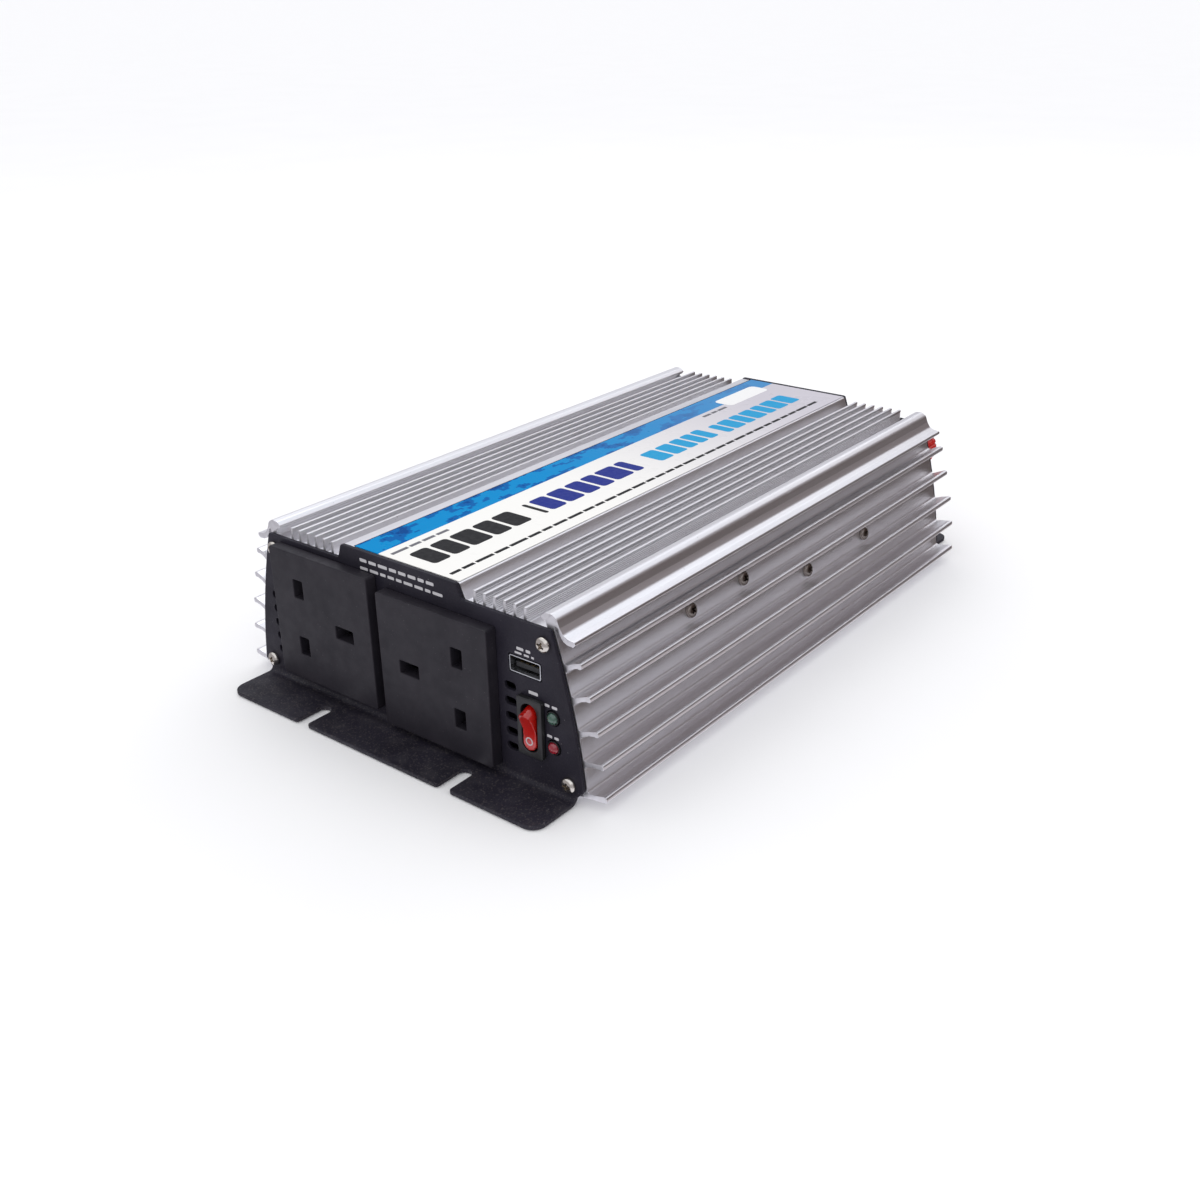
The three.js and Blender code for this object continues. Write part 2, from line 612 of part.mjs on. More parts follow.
// Each contact is a C of spring brass around its pin, with a tail that runs out of the back.
function contactPlaces() {
  const reach = LINE_SLOT.height / 2;
  const places = [-1, 1].map((up) => ({
    name: up > 0 ? 'line' : 'neutral',
    from: 6,
    to: 14,
    outer: [-PIN_OFFSET, up * (PIN_OFFSET + 0.4), 2 * (CONTACT_GRIP + CONTACT_LEAF),
      2 * reach + CONTACT_LEAF],
    inner: [-PIN_OFFSET, up * (PIN_OFFSET - 1), 2 * CONTACT_GRIP, 2 * reach + 2],
    tail: [-PIN_OFFSET, up * (PIN_OFFSET + reach + CONTACT_LEAF / 2), true],
  }));
  const earthReach = EARTH_SLOT.width / 2;
  places.push({
    name: 'earth',
    from: 8.6,
    to: 17.6,
    outer: [PIN_OFFSET + 0.4, 0, 2 * earthReach + CONTACT_LEAF,
      2 * (CONTACT_GRIP + CONTACT_LEAF)],
    inner: [PIN_OFFSET - 1, 0, 2 * earthReach + 2, 2 * CONTACT_GRIP],
    tail: [PIN_OFFSET + earthReach + CONTACT_LEAF / 2, 0, false],
  });
  return places;
}

function tailShape([x, z, flat], margin) {
  const long = 2 * (CONTACT_TAIL.half + margin);
  const short = CONTACT_LEAF + 2 * margin;
  return flat ? rectangle(x, z, long, short) : rectangle(x, z, short, long);
}

function contact({ from, to, outer, inner, tail }) {
  const grip = prismY(rectangle(...outer), from, to);
  const room = prismY(rectangle(...inner), from - OVERRUN, to + OVERRUN);
  const end = prismY(tailShape(tail, 0), to - OVERRUN, CONTACT_TAIL.back);
  return grip.subtract(room).add(end);
}

function socket(side) {
  const [x, z, turn] = SOCKET_PLACES[side];
  const name = (part) => `socket_${side}_${part}`;
  const module = new THREE.Group();
  module.add(piece(name('front'), socketFront(), blackPlastic));
  module.add(piece(name('back'), socketBack(), blackPlastic));
  module.add(piece(name('shutter'), socketShutter(), paleNylon));
  for (const place of contactPlaces()) {
    module.add(piece(name(`contact_${place.name}`), contact(place), brass));
  }
  module.position.set(x, -PLATE_FACE, z);
  module.rotation.y = turn;
  return module;
}

// ---------- control strip ----------
// Y is counted inwards from the face of the front plate here too.

function usbShell() {
  const { x, z, width, height, wall, front, back } = USB;
  const tube = prismY(rectangle(x, z, width, height, 0.5), front, back, 2);
  const room = prismY(rectangle(x, z, width - 2 * wall, height - 2 * wall),
    front - OVERRUN, back + OVERRUN);
  return tube.subtract(room);
}

function usbTongue() {
  const { front, root, width, bottom, top } = USB_TONGUE;
  const { x, z, height, wall, back } = USB;
  const half = width / 2;
  const plugHalf = height / 2 - wall - GAP;
  return join([
    block(x - half, x + half, front, root + OVERRUN, z + bottom, z + top),
    block(x - half, x + half, root, back, z - plugHalf, z + plugHalf),
  ]);
}

function stadium(x, z, halfWidth, reach) {
  return rectangle(x, z, 2 * halfWidth, 2 * reach, halfWidth);
}

function switchHousing() {
  const { x, z, width, height, rise } = SWITCH;
  const body = join([
    prismY(rectangle(x, z, width, height, 0.6), -rise, -0.1, 2),
    prismY(rectangle(x, z, SWITCH_BODY.width, SWITCH_BODY.height), -0.5, SWITCH_BODY.back),
  ]);
  const well = prismY(stadium(x, z, SWITCH_WELL.half, SWITCH_WELL.reach),
    -rise - OVERRUN, SWITCH_WELL.back);
  const pinHole = rodX(ROCKER.pivot, z, ROCKER.pin + 0.15,
    x - SWITCH_BODY.width / 2 - OVERRUN, x + SWITCH_BODY.width / 2 + OVERRUN);
  return cut(body, [well, pinHole]);
}

// The rocker is two flat faces that meet in a crease. At rest the lower face is flush
// with the bezel and the upper one stands out.
function rockerHalf(up, turnDegrees) {
  const { half, reach, face, pivot, back } = ROCKER;
  const shape = new THREE.Shape();
  shape.moveTo(-half, 0);
  shape.lineTo(-half, reach - half);
  shape.absarc(0, reach - half, half, Math.PI, 0, true);
  shape.lineTo(half, 0);
  const tilt = THREE.MathUtils.degToRad(turnDegrees);
  const geometry = extrude(outline(mirrored(shape.getPoints(4).map(({ x, y }) => [x, up * y]), 1)),
    back - face, ARC_STEPS);
  geometry.rotateX(Math.PI / 2).translate(0, back - pivot, 0);
  geometry.rotateX(tilt).translate(SWITCH.x, pivot, SWITCH.z);
  return solid(geometry);
}

function rocker() {
  const { half, face, pivot, pin, throw: degrees, back } = ROCKER;
  const lift = THREE.MathUtils.degToRad(degrees / 2);
  const crease = (pivot - face) * Math.tan(lift);
  const core = prismX(outline([
    [face, SWITCH.z - crease - 0.05], [face, SWITCH.z - crease],
    [face, SWITCH.z - crease + 0.05], [back - 0.5, SWITCH.z + 2], [back, SWITCH.z],
    [back - 0.5, SWITCH.z - 2]]), SWITCH.x - half, SWITCH.x + half);
  const pinReach = SWITCH_BODY.width / 2 - 0.4;
  return join([
    rockerHalf(-1, 0), rockerHalf(1, degrees), core,
    rodX(pivot, SWITCH.z, pin, SWITCH.x - pinReach, SWITCH.x + pinReach),
  ]);
}

function ledBody(z) {
  const { x, radius, flange, rise, back } = LED;
  const dome = arcPoints(0, 0, radius, 0, Math.PI / 2, 4)
    .map(([r, h]) => [Math.max(r, 0), rise - radius * 0.6 + h * 0.6]);
  const lens = turned([[0, -back], [flange, -back], [flange, 1 - back], [radius, 1 - back],
    ...dome.slice(0, -1), [0, rise]], 16);
  const legs = [-1, 1].map((side) => rodZ(side * LED_LEG.offset, 0, LED_LEG.radius,
    -LED_LEG.back, 0.5 - back, 6));
  const geometry = toGeometry(join([lens, ...legs]));
  return solid(geometry.rotateX(Math.PI / 2).translate(x, 0, z));
}

function controls() {
  const strip = new THREE.Group();
  const board = PANEL_BOARD;
  strip.add(piece('usb_shell', usbShell(), tinnedSteel));
  strip.add(piece('usb_tongue', usbTongue(), blackPlastic));
  strip.add(piece('switch_housing', switchHousing(), blackPlastic));
  strip.add(piece('switch_rocker', rocker(), redPlastic));
  strip.add(piece('led_power', ledBody(LED.z[0]), greenLens));
  strip.add(piece('led_fault', ledBody(LED.z[1]), redLens));
  strip.add(piece('panel_board', block(board.left, board.right, board.front, board.back,
    board.bottom, board.top), boardGreen));
  strip.position.y = -PLATE_FACE;
  return strip;
}

// ---------- fan ----------

function fanFrame() {
  const { x, z, size, bore, front, back } = FAN;
  const ends = [front - OVERRUN, back + OVERRUN];
  const shell = cut(prismY(rectangle(x, z, size, size, 2), front, back, 2), [
    prismY(circle(x, z, bore), ...ends, 12),
    ...fanScrewPlaces().map(([holeX, holeZ]) => rodY(holeX, holeZ, SCREW_HOLE, ...ends, 10)),
  ]);
  const { radius, back: statorBack, web, sleeve } = FAN_STATOR;
  const struts = [45, 135].map((degrees) => {
    const bar = new THREE.BoxGeometry(2 * bore + 1, web, web);
    bar.rotateY(THREE.MathUtils.degToRad(degrees)).translate(x, front + web / 2, z);
    return solid(bar);
  });
  const stator = rodY(x, z, radius, front, statorBack, 20);
  return join([shell, ...struts, stator])
    .subtract(rodY(x, z, sleeve, front - OVERRUN, statorBack + OVERRUN, 24));
}

function fanRotor() {
  const { hub, cup, blade, front, back, blades, chord, pitch, shaft, shaftFront } = ROTOR;
  const floor = FAN_STATOR.back + 1;
  const middle = (front + back) / 2 + 0.6;
  const wings = Array.from({ length: blades }, (_, i) => {
    const wing = new THREE.BoxGeometry(blade - hub + 1, chord, 1);
    wing.rotateX(THREE.MathUtils.degToRad(pitch)).translate((blade + hub - 1) / 2, 0, 0);
    wing.rotateY(2 * Math.PI * i / blades).translate(FAN.x, middle, FAN.z);
    return solid(wing);
  });
  const shell = join([rodY(FAN.x, FAN.z, hub, front, back, 24), ...wings]);
  return shell.subtract(rodY(FAN.x, FAN.z, cup, front - OVERRUN, floor, 20))
    .add(rodY(FAN.x, FAN.z, shaft, shaftFront, floor + OVERRUN / 2, 12));
}

// ---------- battery terminals ----------

function terminalBase() {
  const { flange, flangeBack, neck, neckFront, bore } = TERMINAL;
  const body = join([
    rodY(0, 0, flange, PLATE_FACE + 0.2, flangeBack, 24),
    rodY(0, 0, neck, neckFront, PLATE_FACE + 1, 16),
  ]);
  return body.subtract(rodY(0, 0, bore, neckFront - OVERRUN, flangeBack + OVERRUN, 16));
}

function terminalStud() {
  const { stud, studFront, studBack, headFlats, headFront, headBack } = TERMINAL;
  const headRadius = headFlats / 2 / Math.cos(Math.PI / 6);
  return rodY(0, 0, stud, studFront, studBack, 14)
    .add(rodY(0, 0, headRadius, headFront, headBack, 6));
}

function terminalWasher() {
  const { washer, washerFront, washerBack, bore } = TERMINAL;
  return rodY(0, 0, washer, washerFront, washerBack, 20)
    .subtract(rodY(0, 0, bore, washerFront - OVERRUN, washerBack + OVERRUN, 16));
}

function terminalKnob() {
  const { knob, knobFront, knobBack, knobFloor, flutes, fluteDepth, bore } = TERMINAL;
  const stepsPerFlute = 4;
  const rim = Array.from({ length: flutes * stepsPerFlute }, (_, i) => {
    const angle = 2 * Math.PI * i / (flutes * stepsPerFlute);
    const radius = knob - fluteDepth * (0.5 + 0.5 * Math.cos(flutes * angle));
    return [radius * Math.cos(angle), radius * Math.sin(angle)];
  });
  const crown = 1.2;
  const body = join([
    prismY(outline(rim), knobFront, knobBack - crown),
    rodY(0, 0, knob - 2 * fluteDepth - 0.6, knobBack - crown - OVERRUN, knobBack, 24),
  ]);
  return body.subtract(rodY(0, 0, bore, knobFront - OVERRUN, knobFloor, 14));
}

function terminal(color, material) {
  const post = new THREE.Group();
  post.add(piece(`terminal_${color}_base`, terminalBase(), material));
  post.add(piece(`terminal_${color}_stud`, terminalStud(), brass));
  post.add(piece(`terminal_${color}_washer`, terminalWasher(), brass));
  post.add(piece(`terminal_${color}_knob`, terminalKnob(), material));
  post.position.set(TERMINAL_X[color], 0, TERMINAL_Z);
  return post;
}

// ---------- power transistors clamped to the right wall ----------
// Each group's local Z points out of the wall, and its origin is on the wall's outer face.

function transistorBank({ from, to, screws, packages }) {
  const { strip, body, width, pitch, half } = TRANSISTOR;
  const top = -WALL - GAP;
  const middle = (screws[0] + screws[1]) / 2;
  const bodies = Array.from({ length: packages }, (_, i) => {
    const y = middle + (i - (packages - 1) / 2) * pitch;
    return block(-half + 1, half - 1, y - width / 2, y + width / 2,
      top - strip - body, top - strip / 2);
  });
  const holes = screws.map((y) => rodZ(0, y, 2, top - strip - OVERRUN, top + OVERRUN));
  const heatStrip = block(-half, half, from, to, top - strip, top);
  return cut(join([heatStrip, ...bodies]), holes);
}

function clampBar({ from, to, screws }) {
  const top = -WALL - GAP - TRANSISTOR.strip - TRANSISTOR.body - GAP;
  const { thickness, half } = CLAMP_BAR;
  const holes = screws.map((y) => rodZ(0, y, SCREW_HOLE, top - thickness - OVERRUN, top + OVERRUN));
  return cut(block(-half, half, from, to, top - thickness, top), holes);
}

function clampStation(name) {
  const place = CLAMPS[name];
  const station = new THREE.Group();
  station.add(piece(`transistor_bank_${name}`, transistorBank(place), ferrite));
  station.add(piece(`clamp_bar_${name}`, clampBar(place), tinnedSteel));
  place.screws.forEach((y, i) => {
    station.add(screw(`side_screw_${name}_${i + 1}`, 11, darkScrew, [0, y, 0.15], [0, 0, 0]));
  });
  station.position.set(sideX(place.z) + SIDE_PROUD, 0, place.z);
  station.rotation.y = Math.PI / 2 - Math.atan(sideLean(place.z));
  return station;
}

// ---------- main board ----------

function mainBoard() {
  const { half, bottom, thickness, front, back } = BOARD;
  return block(-half, half, front, back, bottom, bottom + thickness);
}

function transformerCore(floor) {
  const { x, y, width, height, depth, leg, yoke } = TRANSFORMER;
  const ends = [y - depth / 2, y + depth / 2];
  const windowWidth = (width - leg) / 2 - yoke;
  const windows = [-1, 1].map((side) => prismY(rectangle(
    x + side * (leg + windowWidth) / 2, floor + height / 2, windowWidth, height - 2 * yoke),
  ends[0] - OVERRUN, ends[1] + OVERRUN));
  return cut(block(x - width / 2, x + width / 2, ...ends, floor, floor + height), windows);
}

function transformerWinding(floor) {
  const { x, y, height } = TRANSFORMER;
  const { height: coil, outerX, outerY, innerX, innerY } = WINDING;
  const low = floor + (height - coil) / 2;
  const ring = prismZ(rectangle(x, y, outerX, outerY, 5), low, low + coil, 3);
  return ring.subtract(prismZ(rectangle(x, y, innerX, innerY), low - OVERRUN,
    low + coil + OVERRUN));
}

function capacitor(x, y, floor, radius, height) {
  const body = turned([[0, 0], [radius, 0], [radius, 2], [radius - 0.6, 2.6], [radius, 3.2],
    [radius, height - 0.8], [radius - 0.8, height], [0, height]], 20);
  const geometry = toGeometry(body).translate(x, y, floor);
  return solid(geometry);
}

function electronics() {
  const floor = BOARD.bottom + BOARD.thickness + GAP;
  const pack = new THREE.Group();
  pack.add(piece('main_board', mainBoard(), boardGreen));
  pack.add(piece('transformer_core', transformerCore(floor), ferrite));
  pack.add(piece('transformer_winding', transformerWinding(floor), copperTape));
  for (const [letter, [x, y]] of Object.entries(INPUT_CAPACITORS)) {
    const { radius, height } = INPUT_CAPACITOR;
    pack.add(piece(`input_capacitor_${letter}`, capacitor(x, y, floor, radius, height),
      capacitorSleeve));
  }
  const bus = BUS_CAPACITOR;
  pack.add(piece('bus_capacitor', capacitor(bus.x, bus.y, floor, bus.radius, bus.height),
    capacitorSleeve));
  return pack;
}

// ---------- assembly ----------

const inverter = new THREE.Group();
inverter.add(piece('case_extrusion', caseExtrusion(), aluminium));
inverter.add(piece('base_cover', baseCover(), aluminium));
inverter.add(piece('top_label', label(), labelFilm));
inverter.add(piece('front_plate', frontPlate(), blackSteel));
inverter.add(piece('rear_plate', rearPlate(), blackSteel));
inverter.add(...plateScrews(-1, 'front'), ...plateScrews(1, 'rear'), ...fanScrews());
inverter.add(socket('left'), socket('right'), controls());
inverter.add(piece('fan_frame', fanFrame(), blackPlastic));
inverter.add(piece('fan_rotor', fanRotor(), blackPlastic));
inverter.add(terminal('red', redPlastic), terminal('black', blackKnob));
inverter.add(clampStation('front'), clampStation('rear'), electronics());

export default inverter;
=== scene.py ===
# A power inverter: a finned aluminium case between two black footed end plates, with two
# mains sockets, a USB port, a rocker switch and two lamps on the near end.
# Sizes are written in millimetres and scaled to metres as each mesh is made. The camera, the
# lights and the limits in the materials are in metres.
import math
import random

import bmesh
import bpy
from mathutils import Matrix, Vector


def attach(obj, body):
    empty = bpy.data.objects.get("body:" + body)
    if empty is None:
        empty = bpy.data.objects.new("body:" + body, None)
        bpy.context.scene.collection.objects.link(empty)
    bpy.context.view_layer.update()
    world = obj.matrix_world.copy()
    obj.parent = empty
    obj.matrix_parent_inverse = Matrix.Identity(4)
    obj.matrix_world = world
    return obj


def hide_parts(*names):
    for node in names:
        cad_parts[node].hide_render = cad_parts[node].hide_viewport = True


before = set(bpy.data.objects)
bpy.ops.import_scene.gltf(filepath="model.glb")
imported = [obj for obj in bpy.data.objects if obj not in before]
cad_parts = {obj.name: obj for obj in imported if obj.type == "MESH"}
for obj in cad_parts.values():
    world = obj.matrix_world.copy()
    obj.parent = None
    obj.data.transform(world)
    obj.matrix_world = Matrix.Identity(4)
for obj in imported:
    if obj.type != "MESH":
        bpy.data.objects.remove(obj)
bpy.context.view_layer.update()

MM = 0.001
ROOT = "inverter"


def placed(name, data):
    """A new object in the scene."""
    made = bpy.data.objects.new(name, data)
    bpy.context.scene.collection.objects.link(made)
    return made


# ------------------------ camera

CAMERA_PLACE = (0.29305, -0.38517, 0.23153)
CAMERA_TURN = 38.72          # degrees anticlockwise from looking along +Y
CAMERA_TILT = 64.73          # degrees up from looking straight down
CAMERA_ROLL = -1.04
CAMERA_LENS = 39.2

camera = placed("camera", bpy.data.cameras.new("camera"))
camera.data.lens = CAMERA_LENS
camera.data.sensor_width = 36
camera.data.clip_start = 0.01
camera.matrix_world = (
    Matrix.Translation(CAMERA_PLACE)
    @ Matrix.Rotation(math.radians(CAMERA_TURN), 4, "Z")
    @ Matrix.Rotation(math.radians(CAMERA_TILT), 4, "X")
    @ Matrix.Rotation(math.radians(CAMERA_ROLL), 4, "Z")
)
bpy.context.scene.camera = camera

# ------------------------ materials


class Nodes:
    """A node tree and the few moves that every finish and the studio's light are made of."""

    def __init__(self, tree, coordinates):
        self.tree = tree
        self.coords = self.add("TexCoord").outputs[coordinates]

    def add(self, kind, **settings):
        node = self.tree.nodes.new(f"ShaderNode{kind}")
        for name, value in settings.items():
            setattr(node, name, value)
        return node

    def link(self, source, target):
        self.tree.links.new(source, target)

    def axes(self):
        split = self.add("SeparateXYZ")
        self.link(self.coords, split.inputs["Vector"])
        return [split.outputs[name] for name in "XYZ"]

    def ramp(self, value, low, high, start=0.0, end=1.0):
        """value between low and high turned into start to end, smoothly."""
        ramp = self.add("MapRange", interpolation_type="SMOOTHSTEP")
        for socket, number in zip(("From Min", "From Max", "To Min", "To Max"),
                                  (low, high, start, end)):
            ramp.inputs[socket].default_value = number
        self.link(value, ramp.inputs["Value"])
        return ramp.outputs["Result"]

    def math(self, operation, first, second):
        node = self.add("Math", operation=operation)
        for socket, value in zip(node.inputs, (first, second)):
            if isinstance(value, (int, float)):
                socket.default_value = value
            else:
                self.link(value, socket)
        return node.outputs["Value"]

    def mix(self, factor, first, second):
        node = self.add("Mix", data_type="RGBA")
        self.link(factor, node.inputs["Factor"])
        for socket, value in ((node.inputs[6], first), (node.inputs[7], second)):
            if isinstance(value, tuple):
                socket.default_value = (*value, 1.0)
            else:
                self.link(value, socket)
        return node.outputs[2]


class Paint(Nodes):
    """A Principled material, with the noises and sockets that a finish needs."""

    def __init__(self, name, metallic=0.0, **sockets):
        self.material = bpy.data.materials.new(name)
        self.material.use_nodes = True
        super().__init__(self.material.node_tree, "Object")
        self.shader = self.tree.nodes["Principled BSDF"]
        self.shader.inputs["Metallic"].default_value = metallic
        for socket, value in sockets.items():
            self.shader.inputs[socket.replace("_", " ")].default_value = value

    def texture(self, kind, source, scale, stretch, **settings):
        """A texture whose features are about 1 / scale metres across before the stretch."""
        mapping = self.add("Mapping")
        mapping.inputs["Scale"].default_value = [scale * s for s in stretch]
        self.link(source, mapping.inputs["Vector"])
        texture = self.add(kind, **settings)
        texture.inputs["Scale"].default_value = 1.0
        self.link(mapping.outputs["Vector"], texture.inputs["Vector"])
        return texture

    def noise(self, scale, stretch=(1, 1, 1), detail=3.0, rough=0.5, block=0.0):
        """Noise from 0 to 1. A block's size in millimetres turns it into flat squares."""
        source = self.coords
        if block:
            snap = self.add("VectorMath", operation="SNAP")
            snap.inputs[1].default_value = (block * MM,) * 3
            self.link(source, snap.inputs[0])
            source = snap.outputs["Vector"]
        noise = self.texture("TexNoise", source, scale, stretch)
        noise.inputs["Detail"].default_value = detail
        noise.inputs["Roughness"].default_value = rough
        return noise.outputs["Fac"]

    def cells(self, scale, stretch=(1, 1, 1), distance="EUCLIDEAN"):
        """Distance from the nearest of many scattered points."""
        return self.texture("TexVoronoi", self.coords, scale, stretch,
                            distance=distance).outputs["Distance"]

    def over(self, tone, mask, amount, color):
        """The color laid over the tone where the mask is 1, by that amount."""
        return self.mix(self.math("MULTIPLY", mask, amount), tone, color)

    def color(self, source):
        self.link(source, self.shader.inputs["Base Color"])

    def roughness(self, source):
        self.link(source, self.shader.inputs["Roughness"])

    def gloss(self, low, high, scale, stretch=(1, 1, 1), detail=3.0):
        """Roughness that wanders between low and high."""
        return self.ramp(self.noise(scale, stretch, detail), 0.3, 0.7, low, high)

    def relief(self, *layers):
        """Bump from (height, depth in millimetres) layers."""
        normal = None
        for height, depth in layers:
            bump = self.add("Bump")
            bump.inputs["Strength"].default_value = 1.0
            bump.inputs["Distance"].default_value = depth * MM
            self.link(height, bump.inputs["Height"])
            if normal is not None:
                self.link(normal, bump.inputs["Normal"])
            normal = bump.outputs["Normal"]
        self.link(normal, self.shader.inputs["Normal"])


def plain(name, dark, light, gloss, metallic=0.0, blotch=90, grain=2500, depth=0.004, **sockets):
    """A moulded or plated finish: a slow drift of tone, a fine grain and uneven gloss."""
    paint = Paint(name, metallic, **sockets)
    paint.color(paint.mix(paint.ramp(paint.noise(blotch), 0.3, 0.7), dark, light))
    paint.roughness(paint.ramp(paint.noise(blotch * 3, detail=5), 0.25, 0.75, *gloss))
    paint.relief((paint.noise(grain), depth))
    return paint.material


def extruded_aluminium():
    """Satin metal with fine die lines along its length, faint streaks and a little dust."""
    paint = Paint("extruded_aluminium", 1.0)
    streaks = paint.ramp(paint.noise(420, (1, 0.012, 1), 4), 0.35, 0.65)
    clouds = paint.ramp(paint.noise(26, (1, 0.4, 1), 3), 0.3, 0.7)
    specks = paint.ramp(paint.noise(1100, detail=1), 0.76, 0.80)
    tone = paint.mix(streaks, (0.76, 0.745, 0.76), (0.83, 0.82, 0.84))
    tone = paint.over(tone, clouds, 0.35, (0.87, 0.86, 0.88))
    paint.color(paint.over(tone, specks, 0.4, (0.34, 0.31, 0.31)))
    scuffs = paint.ramp(paint.noise(700, (1, 0.12, 1), 2), 0.66, 0.74)
    paint.roughness(paint.math("ADD", paint.gloss(0.37, 0.43, 300, (1, 0.02, 1), 4),
                               paint.math("MULTIPLY", scuffs, 0.12)))
    die_lines = paint.noise(1900, (1, 0.004, 1), 2)
    paint.relief((die_lines, 0.003), (paint.noise(4200, detail=1), 0.0012))
    return paint.material


def powder_coat():
    """Fine-textured black powder coat with pale dust specks. Low on the foot it is painted paler
    and flecked with painted glints, where the foot's upturned face catches the light.
    """
    paint = Paint("black_powder_coat", 0.0, Specular_IOR_Level=0.2)
    drift = paint.ramp(paint.noise(45, detail=4), 0.3, 0.7)
    # low is 1 on the foot: there the tone gets painted light and painted glints, standing in for
    # light falling on its top
    low = paint.ramp(paint.axes()[2], 0.001, 0.009, 1.0, 0.12)
    foot_painted_light = paint.math("MULTIPLY", low, paint.ramp(paint.noise(160, detail=5), 0.45, 0.7))
    foot_painted_glints = paint.math("MULTIPLY", low, paint.ramp(paint.noise(1700, detail=1), 0.56, 0.70))
    dust = paint.ramp(paint.noise(900, detail=1), 0.76, 0.80)
    tone = paint.mix(drift, (0.0130, 0.0115, 0.0185), (0.0205, 0.0182, 0.0280))
    # painted light on the foot, then painted glints on it
    tone = paint.over(tone, foot_painted_light, 0.30, (0.050, 0.046, 0.052))
    tone = paint.over(tone, foot_painted_glints, 0.55, (0.085, 0.075, 0.075))
    paint.color(paint.over(tone, dust, 0.35, (0.20, 0.19, 0.20)))
    paint.roughness(paint.gloss(0.42, 0.56, 220, detail=4))
    paint.relief((paint.cells(1450), 0.035), (paint.noise(3600, detail=2), 0.012))
    return paint.material


def label_film():
    """Printed film: a blue band with blocky darker patches beside a pale field. Towards the far
    end the field is painted darker lilac-grey (painted shade) and the blue is painted paler
    (painted sheen).
    """
    paint = Paint("label_film", 0.0, Specular_IOR_Level=0.02)
    across, along, _ = paint.axes()
    patches = paint.noise(110, (1, 0.55, 0), 2, 0.7, block=0.9)
    blue = paint.mix(paint.math("GREATER_THAN", patches, 0.53), (0.0, 0.235, 0.545),
                     (0.0, 0.110, 0.370))
    blue = paint.mix(paint.math("GREATER_THAN", patches, 0.61), blue, (0.0, 0.062, 0.255))
    # painted sheen: the blue is washed paler towards the far end
    blue = paint.mix(paint.ramp(along, -0.05, 0.11, 0.0, 0.75), blue, (0.085, 0.250, 0.500))
    # painted shade: the pale field darkens to lilac-grey towards the far end
    field = paint.mix(paint.ramp(along, -0.06, 0.11), (0.83, 0.825, 0.80), (0.54, 0.52, 0.57))
    tone = paint.mix(paint.math("LESS_THAN", across, BAND[1] * MM), field, blue)
    keyline = paint.math("LESS_THAN", across, (BAND[0] + KEYLINE) * MM)
    paint.color(paint.mix(keyline, tone, (0.012, 0.012, 0.02)))
    paint.roughness(paint.gloss(0.26, 0.36, 120))
    paint.relief((paint.noise(900, detail=2), 0.004))
    return paint.material


def socket_plastic():
    """Dark grey moulding, matt and slightly pebbled, with a few pale specks."""
    paint = Paint("socket_plastic", 0.0, Specular_IOR_Level=0.24)
    drift = paint.ramp(paint.noise(70, detail=4), 0.3, 0.7)
    specks = paint.ramp(paint.noise(1400, detail=1), 0.74, 0.78)
    tone = paint.mix(drift, (0.0145, 0.0128, 0.0180), (0.0215, 0.0190, 0.0250))
    paint.color(paint.over(tone, specks, 0.4, (0.15, 0.14, 0.15)))
    paint.roughness(paint.gloss(0.40, 0.52, 260, detail=4))
    paint.relief((paint.noise(2600, detail=3), 0.016))
    return paint.material


def printed(name, tone):
    """Ink: a thin, slightly broken layer."""
    paint = Paint(name, 0.0, Specular_IOR_Level=0.15)
    wear = paint.ramp(paint.noise(1800, detail=3), 0.60, 0.72)
    faded = tuple(0.9 * value + 0.015 for value in tone)
    paint.color(paint.mix(wear, tone, faded))
    paint.roughness(paint.gloss(0.38, 0.5, 500))
    return paint.material


def circuit_board():
    """Green solder mask over faint copper tracks."""
    paint = Paint("circuit_board", 0.0, Coat_Weight=0.3)
    tracks = paint.ramp(paint.cells(160, (1, 0.6, 1), "MANHATTAN"), 0.3, 0.36)
    paint.color(paint.mix(tracks, (0.010, 0.10, 0.035), (0.018, 0.16, 0.055)))
    paint.roughness(paint.gloss(0.3, 0.45, 300))
    paint.relief((tracks, 0.02))
    return paint.material


BAND = (-21.9, -10.2)        # the label's blue band across X
KEYLINE = 0.45               # width of the dark line along its outer edge

ALUMINIUM = extruded_aluminium()
POWDER = powder_coat()
LABEL = label_film()
SOCKET = socket_plastic()
BOARD = circuit_board()
NICKEL = plain("bright_nickel", (0.60, 0.55, 0.49), (0.76, 0.72, 0.66), (0.10, 0.20), 1.0)
DARK_SCREW = plain("dull_steel", (0.20, 0.17, 0.15), (0.34, 0.30, 0.27), (0.16, 0.28), 1.0)
BRASS = plain("turned_brass", (0.60, 0.42, 0.16), (0.74, 0.56, 0.26), (0.22, 0.38), 1.0)
TINNED = plain("tinned_steel", (0.52, 0.53, 0.55), (0.66, 0.67, 0.69), (0.22, 0.36), 1.0)
SWITCH_BLACK = plain("switch_black", (0.010, 0.010, 0.011), (0.018, 0.018, 0.020), (0.32, 0.45))
FAN_BLACK = plain("fan_black", (0.012, 0.012, 0.013), (0.022, 0.022, 0.024), (0.38, 0.50))
USB_BLACK = plain("usb_black", (0.014, 0.014, 0.016), (0.026, 0.026, 0.028), (0.35, 0.5))
NYLON = plain("shutter_grey", (0.020, 0.022, 0.030), (0.034, 0.036, 0.046), (0.4, 0.55))
ROCKER_RED = plain("rocker_red", (0.34, 0.005, 0.003), (0.46, 0.010, 0.005), (0.12, 0.20),
                   depth=0.002, Coat_Weight=0.6, Subsurface_Weight=0.15,
                   Subsurface_Radius=(0.004, 0.0006, 0.0003))
TERMINAL_RED = plain("terminal_red", (0.36, 0.006, 0.005), (0.48, 0.012, 0.009), (0.18, 0.3),
                     Coat_Weight=0.3)
